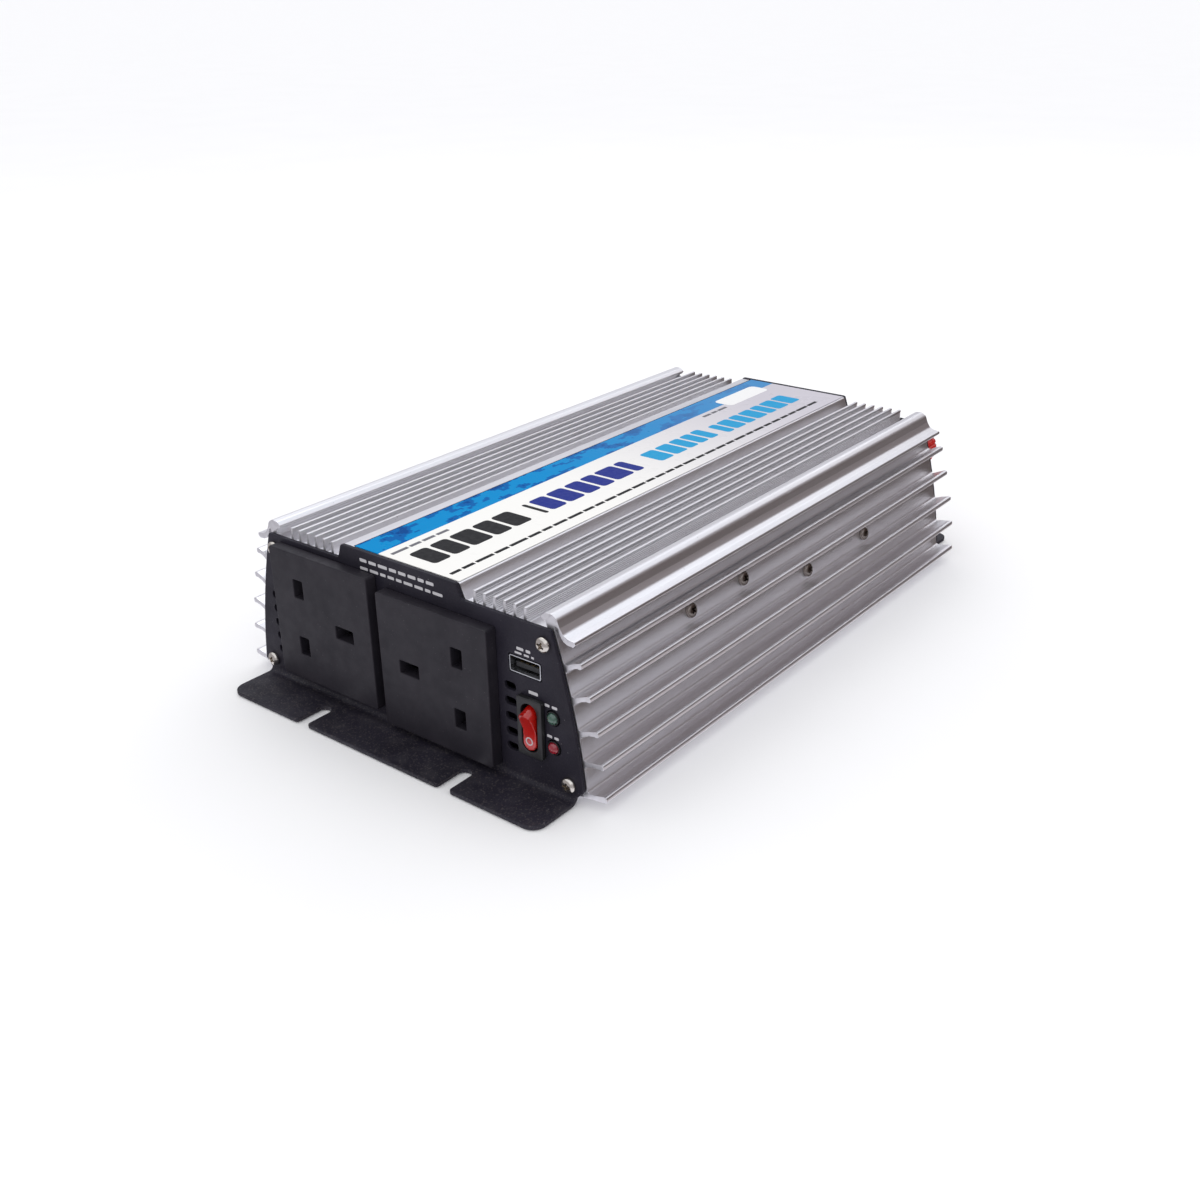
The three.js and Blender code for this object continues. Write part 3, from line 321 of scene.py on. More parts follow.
TERMINAL_BLACK = plain("terminal_black", (0.008, 0.008, 0.009), (0.016, 0.016, 0.018),
                       (0.2, 0.32), Coat_Weight=0.3)
LED_GREEN = plain("lens_green", (0.045, 0.110, 0.080), (0.090, 0.190, 0.140), (0.05, 0.12),
                  depth=0.001, Coat_Weight=1.0, Transmission_Weight=0.35)
LED_RED = plain("lens_red", (0.26, 0.008, 0.020), (0.40, 0.018, 0.034), (0.05, 0.12),
                depth=0.001, Coat_Weight=1.0, Transmission_Weight=0.25)
FERRITE = plain("ferrite", (0.030, 0.030, 0.033), (0.055, 0.054, 0.058), (0.6, 0.75), depth=0.02)
EPOXY = plain("moulded_epoxy", (0.012, 0.012, 0.013), (0.020, 0.020, 0.022), (0.5, 0.62))
TAPE = plain("winding_tape", (0.60, 0.36, 0.06), (0.74, 0.50, 0.12), (0.25, 0.4), depth=0.01)
SLEEVE = plain("capacitor_sleeve", (0.012, 0.028, 0.085), (0.020, 0.042, 0.120), (0.2, 0.3),
               Coat_Weight=0.4)
WHITE_INK = printed("white_ink", (0.46, 0.45, 0.47))
BLACK_INK = printed("black_ink", (0.006, 0.006, 0.007))
BLUE_INK = printed("blue_ink", (0.002, 0.016, 0.220))
CYAN_INK = printed("cyan_ink", (0.0, 0.30, 0.58))
GREY_INK = printed("grey_ink", (0.14, 0.14, 0.16))
PALE_INK = printed("pale_ink", (0.80, 0.80, 0.80))

# ------------------------ mesh helpers


def finished(mesh, paint, smooth):
    """The mesh with its material, shaded smooth but for edges sharper than the angle."""
    mesh.materials.append(paint)
    mesh.polygons.foreach_set("use_smooth", [True] * len(mesh.polygons))
    mesh.set_sharp_from_angle(angle=math.radians(smooth))
    return mesh


def to_object(name, mesh, paint, smooth=38):
    piece = placed(name, finished(mesh, paint, smooth))
    weighted = piece.modifiers.new("flats", "WEIGHTED_NORMAL")
    weighted.keep_sharp = True
    return piece


def to_mesh(name, shape):
    bmesh.ops.recalc_face_normals(shape, faces=shape.faces[:])
    mesh = bpy.data.meshes.new(name)
    shape.to_mesh(mesh)
    shape.free()
    return mesh


def shaped(name, shape, paint, smooth=38):
    return to_object(name, to_mesh(name, shape), paint, smooth)


def round_edges(piece, width, segments=3, angle=35):
    """Rounds every edge sharper than the angle, and keeps the flat faces flat."""
    piece.modifiers.clear()
    bevel = piece.modifiers.new("edges", "BEVEL")
    bevel.width = width * MM
    bevel.segments = segments
    bevel.limit_method = "ANGLE"
    bevel.angle_limit = math.radians(angle)
    bevel.use_clamp_overlap = False
    bevel.harden_normals = True
    return piece


def stand_in(piece, *nodes, body=ROOT, slot=None):
    """The piece rides on its body in place of the CAD nodes."""
    if nodes:
        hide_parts(*nodes)
    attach(piece, body)
    return piece


def side_loop(points):
    """Points of one half and their mirror images, as one closed loop."""
    return points + [(-x, z, *rest) for x, z, *rest in reversed(points)]


def filleted(corners, steps=5):
    """A closed loop of (a, b, radius) corners with each corner turned into an arc."""
    loop = []
    count = len(corners)
    for i, (a, b, radius) in enumerate(corners):
        here = Vector((a, b))
        before = Vector(corners[i - 1][:2]) - here
        after = Vector(corners[(i + 1) % count][:2]) - here
        half = before.angle(after, math.pi) / 2
        if radius == 0 or half > math.radians(88.5):
            loop.append((a, b))
            continue
        reach = min(radius / math.tan(half), 0.48 * before.length, 0.48 * after.length)
        radius = reach * math.tan(half)
        centre = here + (before.normalized() + after.normalized()).normalized() * (
            radius / math.sin(half))
        start = here + before.normalized() * reach - centre
        end = here + after.normalized() * reach - centre
        sweep = start.angle_signed(end)
        for step in range(steps + 1):
            turned = start.copy()
            turned.rotate(Matrix.Rotation(-sweep * step / steps, 2))
            loop.append(tuple(centre + turned))
    return loop


def circle(x, z, radius, steps=40):
    return [(x + radius * math.cos(2 * math.pi * i / steps),
             z + radius * math.sin(2 * math.pi * i / steps)) for i in range(steps)]


def box_loop(x, z, width, height, radius=0.0, steps=5):
    half_x, half_z = width / 2, height / 2
    return filleted([(x - half_x, z - half_z, radius), (x + half_x, z - half_z, radius),
                     (x + half_x, z + half_z, radius), (x - half_x, z + half_z, radius)], steps)


def wound(loop, anticlockwise):
    area = sum(loop[i - 1][0] * loop[i][1] - loop[i][0] * loop[i - 1][1]
               for i in range(len(loop)))
    return list(loop) if (area > 0) == anticlockwise else list(reversed(loop))


def drawn_in(loop, distance):
    """The loop moved to its left by a distance, which is into the sheet."""
    moved = []
    for i, point in enumerate(loop):
        here = Vector(point)
        ahead = (Vector(loop[(i + 1) % len(loop)]) - here).normalized()
        behind = (here - Vector(loop[i - 1])).normalized()
        normals = Vector((-ahead.y - behind.y, ahead.x + behind.x))
        moved.append(here + normals * distance / max(0.2, 1 + ahead.dot(behind)))
    return moved


def skin(shape, rings):
    """Faces between rings of vertices, each closed. A ring of one vertex closes to a point."""
    for low, high in zip(rings, rings[1:]):
        for i in range(max(len(low), len(high))):
            j = i + 1
            face = dict.fromkeys((low[i % len(low)], low[j % len(low)],
                                  high[j % len(high)], high[i % len(high)]))
            if len(face) > 2:
                shape.faces.new(face)


def plate_shape(outline, holes, depth, rim=0.0, steps=3):
    """A flat sheet in X and Y with holes, from Z = 0 to Z = depth, its rims rounded."""
    levels = [(0.0, 0.0)]
    if rim:
        arc = [math.pi / 2 * k / steps for k in range(steps + 1)]
        levels = [(rim * (1 - math.sin(a)), rim * (1 - math.cos(a))) for a in arc]
    levels += [(inset, depth - height) for inset, height in reversed(levels)]
    shape = bmesh.new()
    stacks = []
    for loop in [wound(outline, True)] + [wound(hole, False) for hole in holes]:
        rings = [[shape.verts.new((*point, height)) for point in drawn_in(loop, inset)]
                 for inset, height in levels]
        skin(shape, rings)
        stacks.append(rings)
    for level in (0, -1):
        edges = [shape.edges.get((rings[level][i - 1], rings[level][i]))
                 for rings in stacks for i in range(len(rings[level]))]
        bmesh.ops.triangle_fill(shape, use_beauty=True, edges=edges)
    return shape


def prism_y(outline, y0, y1, holes=(), rim=0.0, steps=3):
    """An outline in X and Z, run along Y."""
    shape = plate_shape(outline, holes, y1 - y0, rim, steps)
    for vert in shape.verts:
        x, z, depth = vert.co
        vert.co = (x, y0 + depth, z)
    bmesh.ops.scale(shape, vec=(MM, MM, MM), verts=shape.verts[:])
    return shape


def turned_ring(shape, radius, height, steps):
    """A ring of vertices about Z, or a single one on the axis."""
    count = steps if radius else 1
    return [shape.verts.new((radius * MM * math.cos(2 * math.pi * i / count),
                             radius * MM * math.sin(2 * math.pi * i / count),
                             height * MM)) for i in range(count)]


def turned(profile, steps=40):
    """A profile of (radius, height) turned about Z. It starts and ends on the axis, or ends
    where it started."""
    shape = bmesh.new()
    skin(shape, [turned_ring(shape, radius, height, steps) for radius, height in profile])
    bmesh.ops.remove_doubles(shape, verts=shape.verts[:], dist=1e-7)
    return shape


def joined(*shapes):
    """Several closed shapes as one mesh of separate shells."""
    whole = bmesh.new()
    for shape in shapes:
        part = bpy.data.meshes.new("part")
        bmesh.ops.recalc_face_normals(shape, faces=shape.faces[:])
        shape.to_mesh(part)
        shape.free()
        whole.from_mesh(part)
        bpy.data.meshes.remove(part)
    return whole


def boolean(name, base, others, operation):
    """The mesh of base with the other shapes joined to it or cut from it."""
    body = placed(name, to_mesh(name, base))
    tools = []
    for shape in others:
        tool = placed("tool", to_mesh("tool", shape))
        modifier = body.modifiers.new("step", "BOOLEAN")
        modifier.operation = operation
        modifier.solver = "EXACT"
        modifier.object = tool
        tools.append(tool)
    result = bpy.data.meshes.new_from_object(
        body.evaluated_get(bpy.context.evaluated_depsgraph_get()))
    for piece in [body, *tools]:
        mesh = piece.data
        bpy.data.objects.remove(piece)
        bpy.data.meshes.remove(mesh)
    return result


def refined(node, paint, width, segments=2, slot=None, body=ROOT):
    """A copy of a CAD node with its flat faces cleaned and its edges rounded."""
    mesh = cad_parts[node].data.copy()
    mesh.materials.clear()
    mesh.transform(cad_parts[node].matrix_world)
    shape = bmesh.new()
    shape.from_mesh(mesh)
    bmesh.ops.remove_doubles(shape, verts=shape.verts[:], dist=1e-6)
    bmesh.ops.dissolve_limit(shape, angle_limit=math.radians(0.5), verts=shape.verts[:],
                             edges=shape.edges[:])
    bpy.data.meshes.remove(mesh)
    piece = to_object(f"{node}_fine", to_mesh(node, shape), paint)
    round_edges(piece, width, segments, 32)
    return stand_in(piece, node, body=body, slot=slot)


# ------------------------ case

CASE_END = 123.0              # half its length
DECK = 57.4                   # height of the top between its fins
PLATFORM = 63.2               # height of the raised middle that carries the label
SIDE_TOP = (64.9, 58.4)       # the end plate's side runs from here down to SIDE_FOOT
SIDE_FOOT = (76.2, 5.6)
SIDE_BULGE = 1.5              # how far it bows out half way
WALL = 2.2                    # thickness of the case's side
PROUD = 0.4                   # how far the case's side is outside the end plate's
FIN_TOPS = 62.3
DECK_FINS = 6
DECK_FIN_FIRST = 33.0         # middle of the innermost fin
DECK_FIN_PITCH = 4.18
DECK_FIN_HALF = (0.58, 0.68)  # half thickness at its top and at its root
GROOVES = 5                   # fine grooves along a deck fin's outer face
GROOVE_PITCH = 0.66
GROOVE_DEPTH = 0.30
FINS = [                      # root height, knee and tip of each side fin, top one first
    (46.1, (72.3, 48.1), (74.4, 48.5)),
    (35.8, (74.6, 37.5), (77.5, 38.3)),
    (25.0, (77.4, 26.6), (80.3, 27.1)),
    (15.0, (78.6, 15.9), (82.1, 16.2)),
]
BOSSES = [(62.4, 53.2, 3.3), (70.8, 6.8, 3.8)]     # screw bosses: x, z and radius


def side_x(z):
    t = (z - SIDE_FOOT[1]) / (SIDE_TOP[1] - SIDE_FOOT[1])
    return SIDE_FOOT[0] + (SIDE_TOP[0] - SIDE_FOOT[0]) * t + 4 * SIDE_BULGE * t * (1 - t)


def outer(z):
    return side_x(z) + PROUD


def inner(z):
    return side_x(z) + PROUD - WALL


def case_half():
    """Corners of the right half: over the top and down the outside, then up the inside."""
    corners = [(26.9, PLATFORM, 0.9), (29.3, DECK, 0.7)]
    top, root = DECK_FIN_HALF
    for i in range(DECK_FINS):
        x = DECK_FIN_FIRST + DECK_FIN_PITCH * i
        corners += [(x - root, DECK, 0.45), (x - top, FIN_TOPS, 0.32), (x + top, FIN_TOPS, 0.32)]
        for k in range(GROOVES):
            z = FIN_TOPS - 1.15 - GROOVE_PITCH * k
            flank = x + top + (root - top) * (FIN_TOPS - z) / (FIN_TOPS - DECK)
            corners += [(flank, z + 0.24, 0), (flank - GROOVE_DEPTH, z, 0.05),
                        (flank, z - 0.24, 0)]
        corners.append((x + root, DECK, 0.45))
    corners += [
        (62.6, DECK, 0.5), (62.0, 60.2, 0.6), (60.7, 60.25, 0.5), (59.8, 61.3, 0.8),
        (61.6, 62.75, 1.2), (64.2, 63.1, 2.2), (66.3, 61.8, 2.2), (67.3, 59.2, 1.5),
        (68.6, 57.2, 1.8), (70.4, 56.4, 1.5), (73.0, 56.15, 0.5), (73.25, 55.2, 0.5),
        (72.4, 54.3, 0.5), (70.2, 54.35, 1.2), (68.3, 55.2, 1.2), (67.2, 57.0, 1.2),
        (66.5, 58.9, 0.6), (65.7, 59.5, 0.4), (outer(58.0), 58.0, 0.6),
    ]
    above = 58.0
    for middle, knee, tip in FINS:
        upper, lower = middle + 0.95, middle - 0.95
        steps = max(2, round((above - upper) / 3))
        between = [above + (upper - above) * k / steps for k in range(1, steps)]
        corners += [(outer(z), z, 0) for z in between]
        corners += [
            (outer(upper), upper, 1.1),
            (knee[0] - 0.2, knee[1] + 0.75, 2.5),
            (tip[0] - 1.2, tip[1] + 0.75, 0.8),
            (tip[0] - 0.2, tip[1] + 1.15, 0.5),
            (tip[0] + 0.95, tip[1] + 1.0, 0.8),
            (tip[0] + 0.95, tip[1] - 0.95, 0.8),
            (tip[0] - 0.6, tip[1] - 0.85, 0.6),
            (knee[0] + 0.3, knee[1] - 0.75, 2.5),
            (outer(lower), lower, 1.1),
        ]
        above = lower
    corners += [
        (outer(10.0), 10.0, 0), (outer(5.1), 5.1, 1.0), (79.4, 5.3, 2.0), (82.6, 6.1, 0.6),
        (84.1, 6.1, 0.9), (84.15, 4.1, 0.9), (81.8, 3.7, 0.6), (79.0, 3.45, 2.0),
        (75.6, 2.9, 1.0), (73.1, 2.35, 0.8), (62.6, 2.35, 0.25), (62.6, 3.1, 0.25),
        (inner(3.1), 3.1, 0.8),
    ]
    for base in (10.85, 13.95):
        corners += [(inner(base), base, 0.25), (68.4, base, 0.25), (68.4, base + 0.9, 0.25),
                    (inner(base + 0.9), base + 0.9, 0.25)]
    corners += [(inner(z), z, 0) for z in (22, 30, 38, 46)]
    corners += [(inner(55.2), 55.2, 0.8), (26.9, 55.2, 0.6), (24.9, 61.0, 0.6)]
    return corners


def case_shape():
    tubes = [prism_y(circle(side * x, z, radius), -CASE_END, CASE_END,
                     [circle(side * x, z, 1.5, 20)])
             for side in (-1, 1) for x, z, radius in BOSSES]
    shell = prism_y(filleted(side_loop(case_half()), 5), -CASE_END, CASE_END, (), 0.13, 2)
    return joined(shell, *tubes)


stand_in(shaped("case_shell", case_shape(), ALUMINIUM, 32), "case_extrusion",
         slot="case_aluminium")

# ------------------------ end plates

PLATE = 1.5
PLATE_BACK = 123.2
PLATE_FACE = PLATE_BACK + PLATE
FOOT_END = 143.9
FOOT_HALF = 73.1
FOOT_SLOT = (34.0, 2.6, 12.5)      # middle in X, half width, depth in from the foot's edge
BEND_INNER = 2.0
BEND_OUTER = BEND_INNER + PLATE
BEND_LENGTH = 5.0             # what the bend takes up in the flat pattern
BEND_STEPS = 9
FOOT_LENGTH = FOOT_END - PLATE_BACK - BEND_OUTER
PLATE_SCREWS = [(x, z) for x, z, _ in BOSSES]
SOCKETS = {"left": (-34.9, 32.1, 1), "right": (18.3, 28.8, -1)}    # x, z, earth pin's side
USB = (54.2, 42.7)
SWITCH = (56.7, 22.9)
LEDS = {"power": 28.5, "fault": 18.0}
LED_X = 65.0
VENTS = [(x, 34.2 - 5.5 * i) for x in (-64.7, 47.6) for i in range(5)]
FAN = (-34.0, 29.7)
FAN_SCREWS = [(FAN[0] + a * 20, FAN[1] + b * 20) for a in (-1, 1) for b in (-1, 1)]
TERMINALS = {"red": 55.5, "black": 24.5}
TERMINAL_Z = 42.0


def flat_pattern():
    """Outline of the unbent sheet. Its second number is the height above the bend."""
    lift = BEND_OUTER
    half = [(26.6, 63.6 - lift, 1.0), (28.4, SIDE_TOP[1] - lift, 0.8),
            (SIDE_TOP[0], SIDE_TOP[1] - lift, 0.9)]
    half += [(side_x(z), z - lift, 0) for z in range(54, 8, -4)]
    half += [(SIDE_FOOT[0], SIDE_FOOT[1] - lift, 0.8), (FOOT_HALF, 2.3 - lift, 0.8)]
    toe = -BEND_LENGTH - FOOT_LENGTH
    x, wide, deep = FOOT_SLOT
    half += [(FOOT_HALF, toe, 5.0), (x + wide, toe, 1.3), (x + wide, toe + deep, wide - 0.05),
             (x - wide, toe + deep, wide - 0.05), (x - wide, toe, 1.3)]
    return filleted(side_loop(half), 7)


def folded(shape, end):
    """The flat sheet folded at its bend and stood at that end of the case."""
    for i in range(BEND_STEPS + 1):
        bmesh.ops.bisect_plane(
            shape, geom=shape.verts[:] + shape.edges[:] + shape.faces[:],
            plane_co=(0, -BEND_LENGTH * i / BEND_STEPS, 0), plane_no=(0, 1, 0))
    for vert in shape.verts:
        x, run, depth = vert.co
        if run >= 0:
            y, z = PLATE_BACK + depth, BEND_OUTER + run
        elif run > -BEND_LENGTH:
            angle = -run / BEND_LENGTH * math.pi / 2
            radius = BEND_OUTER - depth
            y = PLATE_BACK + BEND_OUTER - radius * math.cos(angle)
            z = BEND_OUTER - radius * math.sin(angle)
        else:
            y, z = PLATE_BACK + BEND_OUTER - run - BEND_LENGTH, depth
        vert.co = (x * MM, end * y * MM, z * MM)
    return shape


def screw_hole(x, z):
    return circle(x, z, 1.6, 24)


def plate(name, node, end, holes):
    """The folded sheet, with those holes and four for its screws."""
    holes = holes + [screw_hole(side * x, z) for side in (-1, 1) for x, z in PLATE_SCREWS]
    flat = [[(x, z - BEND_OUTER) for x, z in loop] for loop in holes]
    sheet = folded(plate_shape(flat_pattern(), flat, PLATE, 0.25), end)
    stand_in(shaped(name, sheet, POWDER, 34), node, slot="plate_steel")


def grille_slots(steps=14):
    """Four quarter slots in each ring of the fan grille, with 2 mm spokes between them."""
    slots = []
    for low, high in ((4.5, 8.0), (10.0, 13.5), (15.5, 19.0), (21.0, 23.0)):
        for quarter in range(4):
            start = math.radians(45 + 90 * quarter)
            arc = []
            for radius, order in ((high, 1), (low, -1)):
                trim = math.asin(1.0 / radius)
                angles = [start + trim + (math.pi / 2 - 2 * trim) * k / steps
                          for k in range(steps + 1)][::order]
                arc += [(FAN[0] + radius * math.cos(a), FAN[1] + radius * math.sin(a))
                        for a in angles]
            slots.append(arc)
    return slots


front_holes = [box_loop(x, z, 44.6, 44.6, 0.8) for x, z, _ in SOCKETS.values()]
front_holes += [box_loop(*USB, 13.4, 6.4, 0.6), box_loop(*SWITCH, 9.4, 19.4, 0.4)]
front_holes += [circle(LED_X, z, 2.75) for z in LEDS.values()]
front_holes += [box_loop(x, z, 4.8, 2.8, 1.1) for x, z in VENTS]
plate("front_end_plate", "front_plate", -1, front_holes)

rear_holes = grille_slots() + [screw_hole(x, z) for x, z in FAN_SCREWS]
rear_holes += [circle(x, TERMINAL_Z, 5.8) for x in TERMINALS.values()]
plate("rear_end_plate", "rear_plate", 1, rear_holes)

# ------------------------ screws


def screw_mesh(name, paint):
    """A pan head with a rolled rim and a tapered cross recess, on a plain shank."""
    head = turned([
        (0, -9.5), (0.8, -9.5), (1.2, -9.0), (1.2, -0.1), (1.35, 0), (2.45, 0), (2.62, 0.12),
        (2.65, 0.45), (2.6, 0.85), (2.4, 1.25), (2.0, 1.58), (1.4, 1.8), (0.7, 1.9), (0, 1.92),
    ], 40)
    foot, top = (0.85, 0.26, 0.4), (1.55, 0.38, 2.3)     # half length and width, height
    cutters = []
    for turn in (0, 90):
        bar = bmesh.new()
        rings = [[bar.verts.new((sx * length * MM, sy * width * MM, height * MM))
                  for sx, sy in ((-1, -1), (1, -1), (1, 1), (-1, 1))]
                 for length, width, height in (foot, top)]
        skin(bar, rings)
        for ring in rings:
            bar.faces.new(ring)
        bmesh.ops.rotate(bar, cent=(0, 0, 0), verts=bar.verts[:],
                         matrix=Matrix.Rotation(math.radians(turn), 3, "Z"))
        cutters.append(bar)
    cutters.append(turned([(0, 0.6), (0.45, 0.7), (0.95, 2.3), (0, 2.3)], 24))
    return finished(boolean(name, head, cutters, "DIFFERENCE"), paint, 40)


HEAD_GAP = 0.02               # between a screw head and what it sits on
SIDE_SCREWS = (("front", 41.4, (-59.3, -27.2)), ("rear", 30.5, (14.2, 58.4)))   # z, both y


def set_screw(node, mesh, place, outward, twist, slot):
    """A screw whose head sits at that place in millimetres and faces outward."""
    piece = placed(f"{node}_head", mesh)
    turn = Vector((0, 0, 1)).rotation_difference(Vector(outward)).to_matrix().to_4x4()
    piece.matrix_world = (Matrix.Translation(Vector(place) * MM) @ turn
                          @ Matrix.Rotation(math.radians(twist), 4, "Z"))
    stand_in(piece, node, slot=slot)


pale_screw = screw_mesh("plate_screw", NICKEL)
dark_screw = screw_mesh("wall_screw", DARK_SCREW)
random.seed(5)
for end_name, end in (("front", -1), ("rear", 1)):
    for level, (x, z) in zip(("top", "bottom"), PLATE_SCREWS):
        for side_name, side in (("left", -1), ("right", 1)):
            set_screw(f"{end_name}_screw_{level}_{side_name}", pale_screw,
                      (side * x, end * (PLATE_FACE + HEAD_GAP), z), (0, end, 0),
                      random.uniform(0, 90), "screw_nickel")
for number, (x, z) in enumerate(FAN_SCREWS, 1):
    set_screw(f"fan_screw_{number}", pale_screw, (x, PLATE_FACE + HEAD_GAP, z), (0, 1, 0),
              random.uniform(0, 90), "screw_nickel")
for station, z, places in SIDE_SCREWS:
    lean = (side_x(z - 1) - side_x(z + 1)) / 2     # of the wall, as a slope
    for number, y in enumerate(places, 1):
        set_screw(f"side_screw_{station}_{number}", dark_screw, (outer(z) + HEAD_GAP, y, z),
                  Vector((1, 0, lean)).normalized(), random.uniform(20, 70), "screw_dark")

# ------------------------ mains sockets

FASCIA = 49.2                 # width and height of the front
FASCIA_OUT = 4.7              # how far it stands out from the plate
SKIRT = 44.0                  # width and height of the tray behind it
PIN = 11.1                    # from the socket's middle to each pin, across and up
EARTH_SLOT = (8.8, 4.8)
LIVE_SLOT = (4.8, 7.0)


def behind_plate(outline, front, back, *rest):
    """A prism whose ends are measured inwards from the near plate's face."""
    return prism_y(outline, front - PLATE_FACE, back - PLATE_FACE, *rest)


def socket_shape(x, z, side):
    """Fascia with rounded edges, pierced by the three slots, and the tray behind it."""
    slots = [(x + side * PIN, z, *EARTH_SLOT)]
    slots += [(x - side * PIN, z + up * PIN, *LIVE_SLOT) for up in (-1, 1)]

    def openings(spare):
        return [box_loop(a, b, wide + spare, high + spare, 0.35, 3) for a, b, wide, high in slots]

    skirt = box_loop(x, z, SKIRT, SKIRT, 0.6)
    return joined(
        behind_plate(box_loop(x, z, FASCIA, FASCIA, 0.9), -FASCIA_OUT, -0.15, openings(0), 0.35),
        behind_plate(skirt, -0.3, 0.8, openings(0.1)),
        behind_plate(skirt, 0.6, 10.5, [box_loop(x, z, SKIRT - 3, SKIRT - 3, 0.5)]))


for side_name, (x, z, side) in SOCKETS.items():
    piece = shaped(f"socket_{side_name}_moulding", socket_shape(x, z, side), SOCKET, 35)
    stand_in(piece, f"socket_{side_name}_front", slot="socket_plastic")
    refined(f"socket_{side_name}_back", SOCKET, 0.3, slot="socket_plastic")
    refined(f"socket_{side_name}_shutter", NYLON, 0.15, slot="shutter_nylon",
            body=f"{side_name}_shutter")
    for pole in ("line", "neutral", "earth"):
        refined(f"socket_{side_name}_contact_{pole}", BRASS, 0.15, slot="contact_brass")

# ------------------------ control strip


def usb_port():
    x, z = USB
    shell = behind_plate(box_loop(x, z, 12.8, 5.8, 0.7), 0.1, 13.8,
                         [box_loop(x, z, 12.0, 5.0, 0.4)], 0.1, 2)
    stand_in(shaped("usb_port_shell", shell, TINNED, 35), "usb_shell", slot="tinned_steel")
    refined("usb_tongue", USB_BLACK, 0.2, slot="usb_plastic")
    strips = [behind_plate(box_loop(x + 2.35 * (i - 1.5), z - 0.16, 1.3, 0.12), 2.6, 9.5)
              for i in range(4)]
    stand_in(shaped("usb_port_contacts", joined(*strips), BRASS), slot="contact_brass")


usb_port()

PIVOT = (1.8 - PLATE_FACE, SWITCH[1])      # y and z of the rocker's pin
ROCKER_FACE = 3.9                          # from the pin to a rocker face
ROCKER_THROW = 22                          # degrees between its two faces
ROCKER_HALF = 2.6                          # half its width
ROCKER_REACH = 7.9                         # from its middle to each rounded end
RING_DOWN = 4.6                            # from its middle to the ring


def switch_frame():
    x, z = SWITCH
    well = box_loop(x, z, 6.4, 17, 3.2 * 0.999, 10)
    bezel = behind_plate(box_loop(x, z, 10, 20.6, 0.7), -2, -0.1, [well], 0.35)
    tray = behind_plate(box_loop(x, z, 8.8, 18.8, 0.3), -0.4, 9.5, [well])
    back = behind_plate(box_loop(x, z, 8.8, 18.8, 0.3), 9.3, 13)
    stand_in(shaped("switch_frame", joined(bezel, tray, back), SWITCH_BLACK, 35),
             "switch_housing", slot="switch_plastic")


def rocker_half(up, degrees):
    """One half of the rocker: half a stadium, turned about the pin."""
    x, half = SWITCH[0], ROCKER_HALF
    loop = [(x - half, 0), (x + half, 0)]
    loop += [(x + half * math.cos(math.pi * k / 12),
              up * (ROCKER_REACH - half + half * math.sin(math.pi * k / 12)))
             for k in range(13)]
    shape = prism_y(loop, -ROCKER_FACE, 2.2)
    bmesh.ops.rotate(shape, cent=(0, 0, 0), verts=shape.verts[:],
                     matrix=Matrix.Rotation(math.radians(degrees), 3, "X"))
    bmesh.ops.translate(shape, vec=(0, PIVOT[0] * MM, PIVOT[1] * MM), verts=shape.verts[:])
    return shape


def rocker():
    x, z = SWITCH
    pin, _ = PIVOT
    crease = ROCKER_FACE * math.tan(math.radians(ROCKER_THROW / 2))
    core = prism_y(box_loop(x, z - crease / 2, 2 * ROCKER_HALF, 2.2 * crease), pin - 3.2,
                   pin + 2.1)
    mesh = boolean("switch_paddle", rocker_half(-1, 0), [rocker_half(1, ROCKER_THROW), core],
                   "UNION")
    piece = round_edges(to_object("switch_paddle", mesh, ROCKER_RED, 30), 0.32, 4, 28)
    stand_in(piece, "switch_rocker", body="rocker", slot="rocker_red")
    face = pin - ROCKER_FACE
    ring = prism_y(circle(x, z - RING_DOWN, 1.45, 36), face - 0.06, face + 0.2,
                   [circle(x, z - RING_DOWN, 1.05, 36)])
    stand_in(shaped("switch_off_ring", ring, WHITE_INK), body="rocker", slot="rocker_red")


def lamp(name, paint, slot):
    """A clear lens with a domed end on two wire legs, held in a black clip."""
    dome = [(1.98 * math.cos(math.pi / 2 * k / 8), 0.1 + 1.6 * math.sin(math.pi / 2 * k / 8))
            for k in range(8)]
    lens = turned([(0, -9), (2.8, -9), (3.0, -8.8), (3.0, -8.1), (1.98, -8.0), *dome, (0, 1.7)])
    legs = []
    for side in (-1, 1):
        leg = turned([(0, -13.9), (0.3, -13.9), (0.3, -8.5), (0, -8.5)], 12)
        bmesh.ops.translate(leg, vec=(side * 1.27 * MM, 0, 0), verts=leg.verts[:])
        legs.append(leg)
    clip = turned([(2.05, -7.5), (2.4, -7.5), (2.4, 0.25), (2.3, 0.42), (2.15, 0.42),
                   (2.05, 0.3), (2.05, -7.5)])
    lens = shaped(f"lamp_{name}", joined(lens, *legs), paint, 45)
    clip = shaped(f"lamp_{name}_clip", clip, SWITCH_BLACK, 45)
    place = Vector((LED_X, -PLATE_FACE, LEDS[name])) * MM
    for piece in (lens, clip):
        piece.matrix_world = (Matrix.Translation(place)
                              @ Matrix.Rotation(math.radians(90), 4, "X"))
    stand_in(lens, f"led_{name}", slot=slot)
    stand_in(clip, slot="switch_plastic")


switch_frame()
rocker()
lamp("power", LED_GREEN, "led_green")
lamp("fault", LED_RED, "led_red")
refined("panel_board", BOARD, 0.1, slot="board_green")

# ------------------------ printed marks


def dashes(name, paint, rows, place, slot):
    """Rows of plain dashes that stand for printed words. A row is its start, end, height,
    thickness and usual length of a dash. place makes the dash from the first four."""
    shapes = []
    for start, end, height, thick, word in rows:
        at = start
        while at < end - 0.3 * word:
            length = min(word * random.uniform(0.7, 1.3), end - at)
            shapes.append(place(at, at + length, height, thick))
            at += length + 0.9 + 0.05 * thick
    stand_in(shaped(name, joined(*shapes), paint), slot=slot)


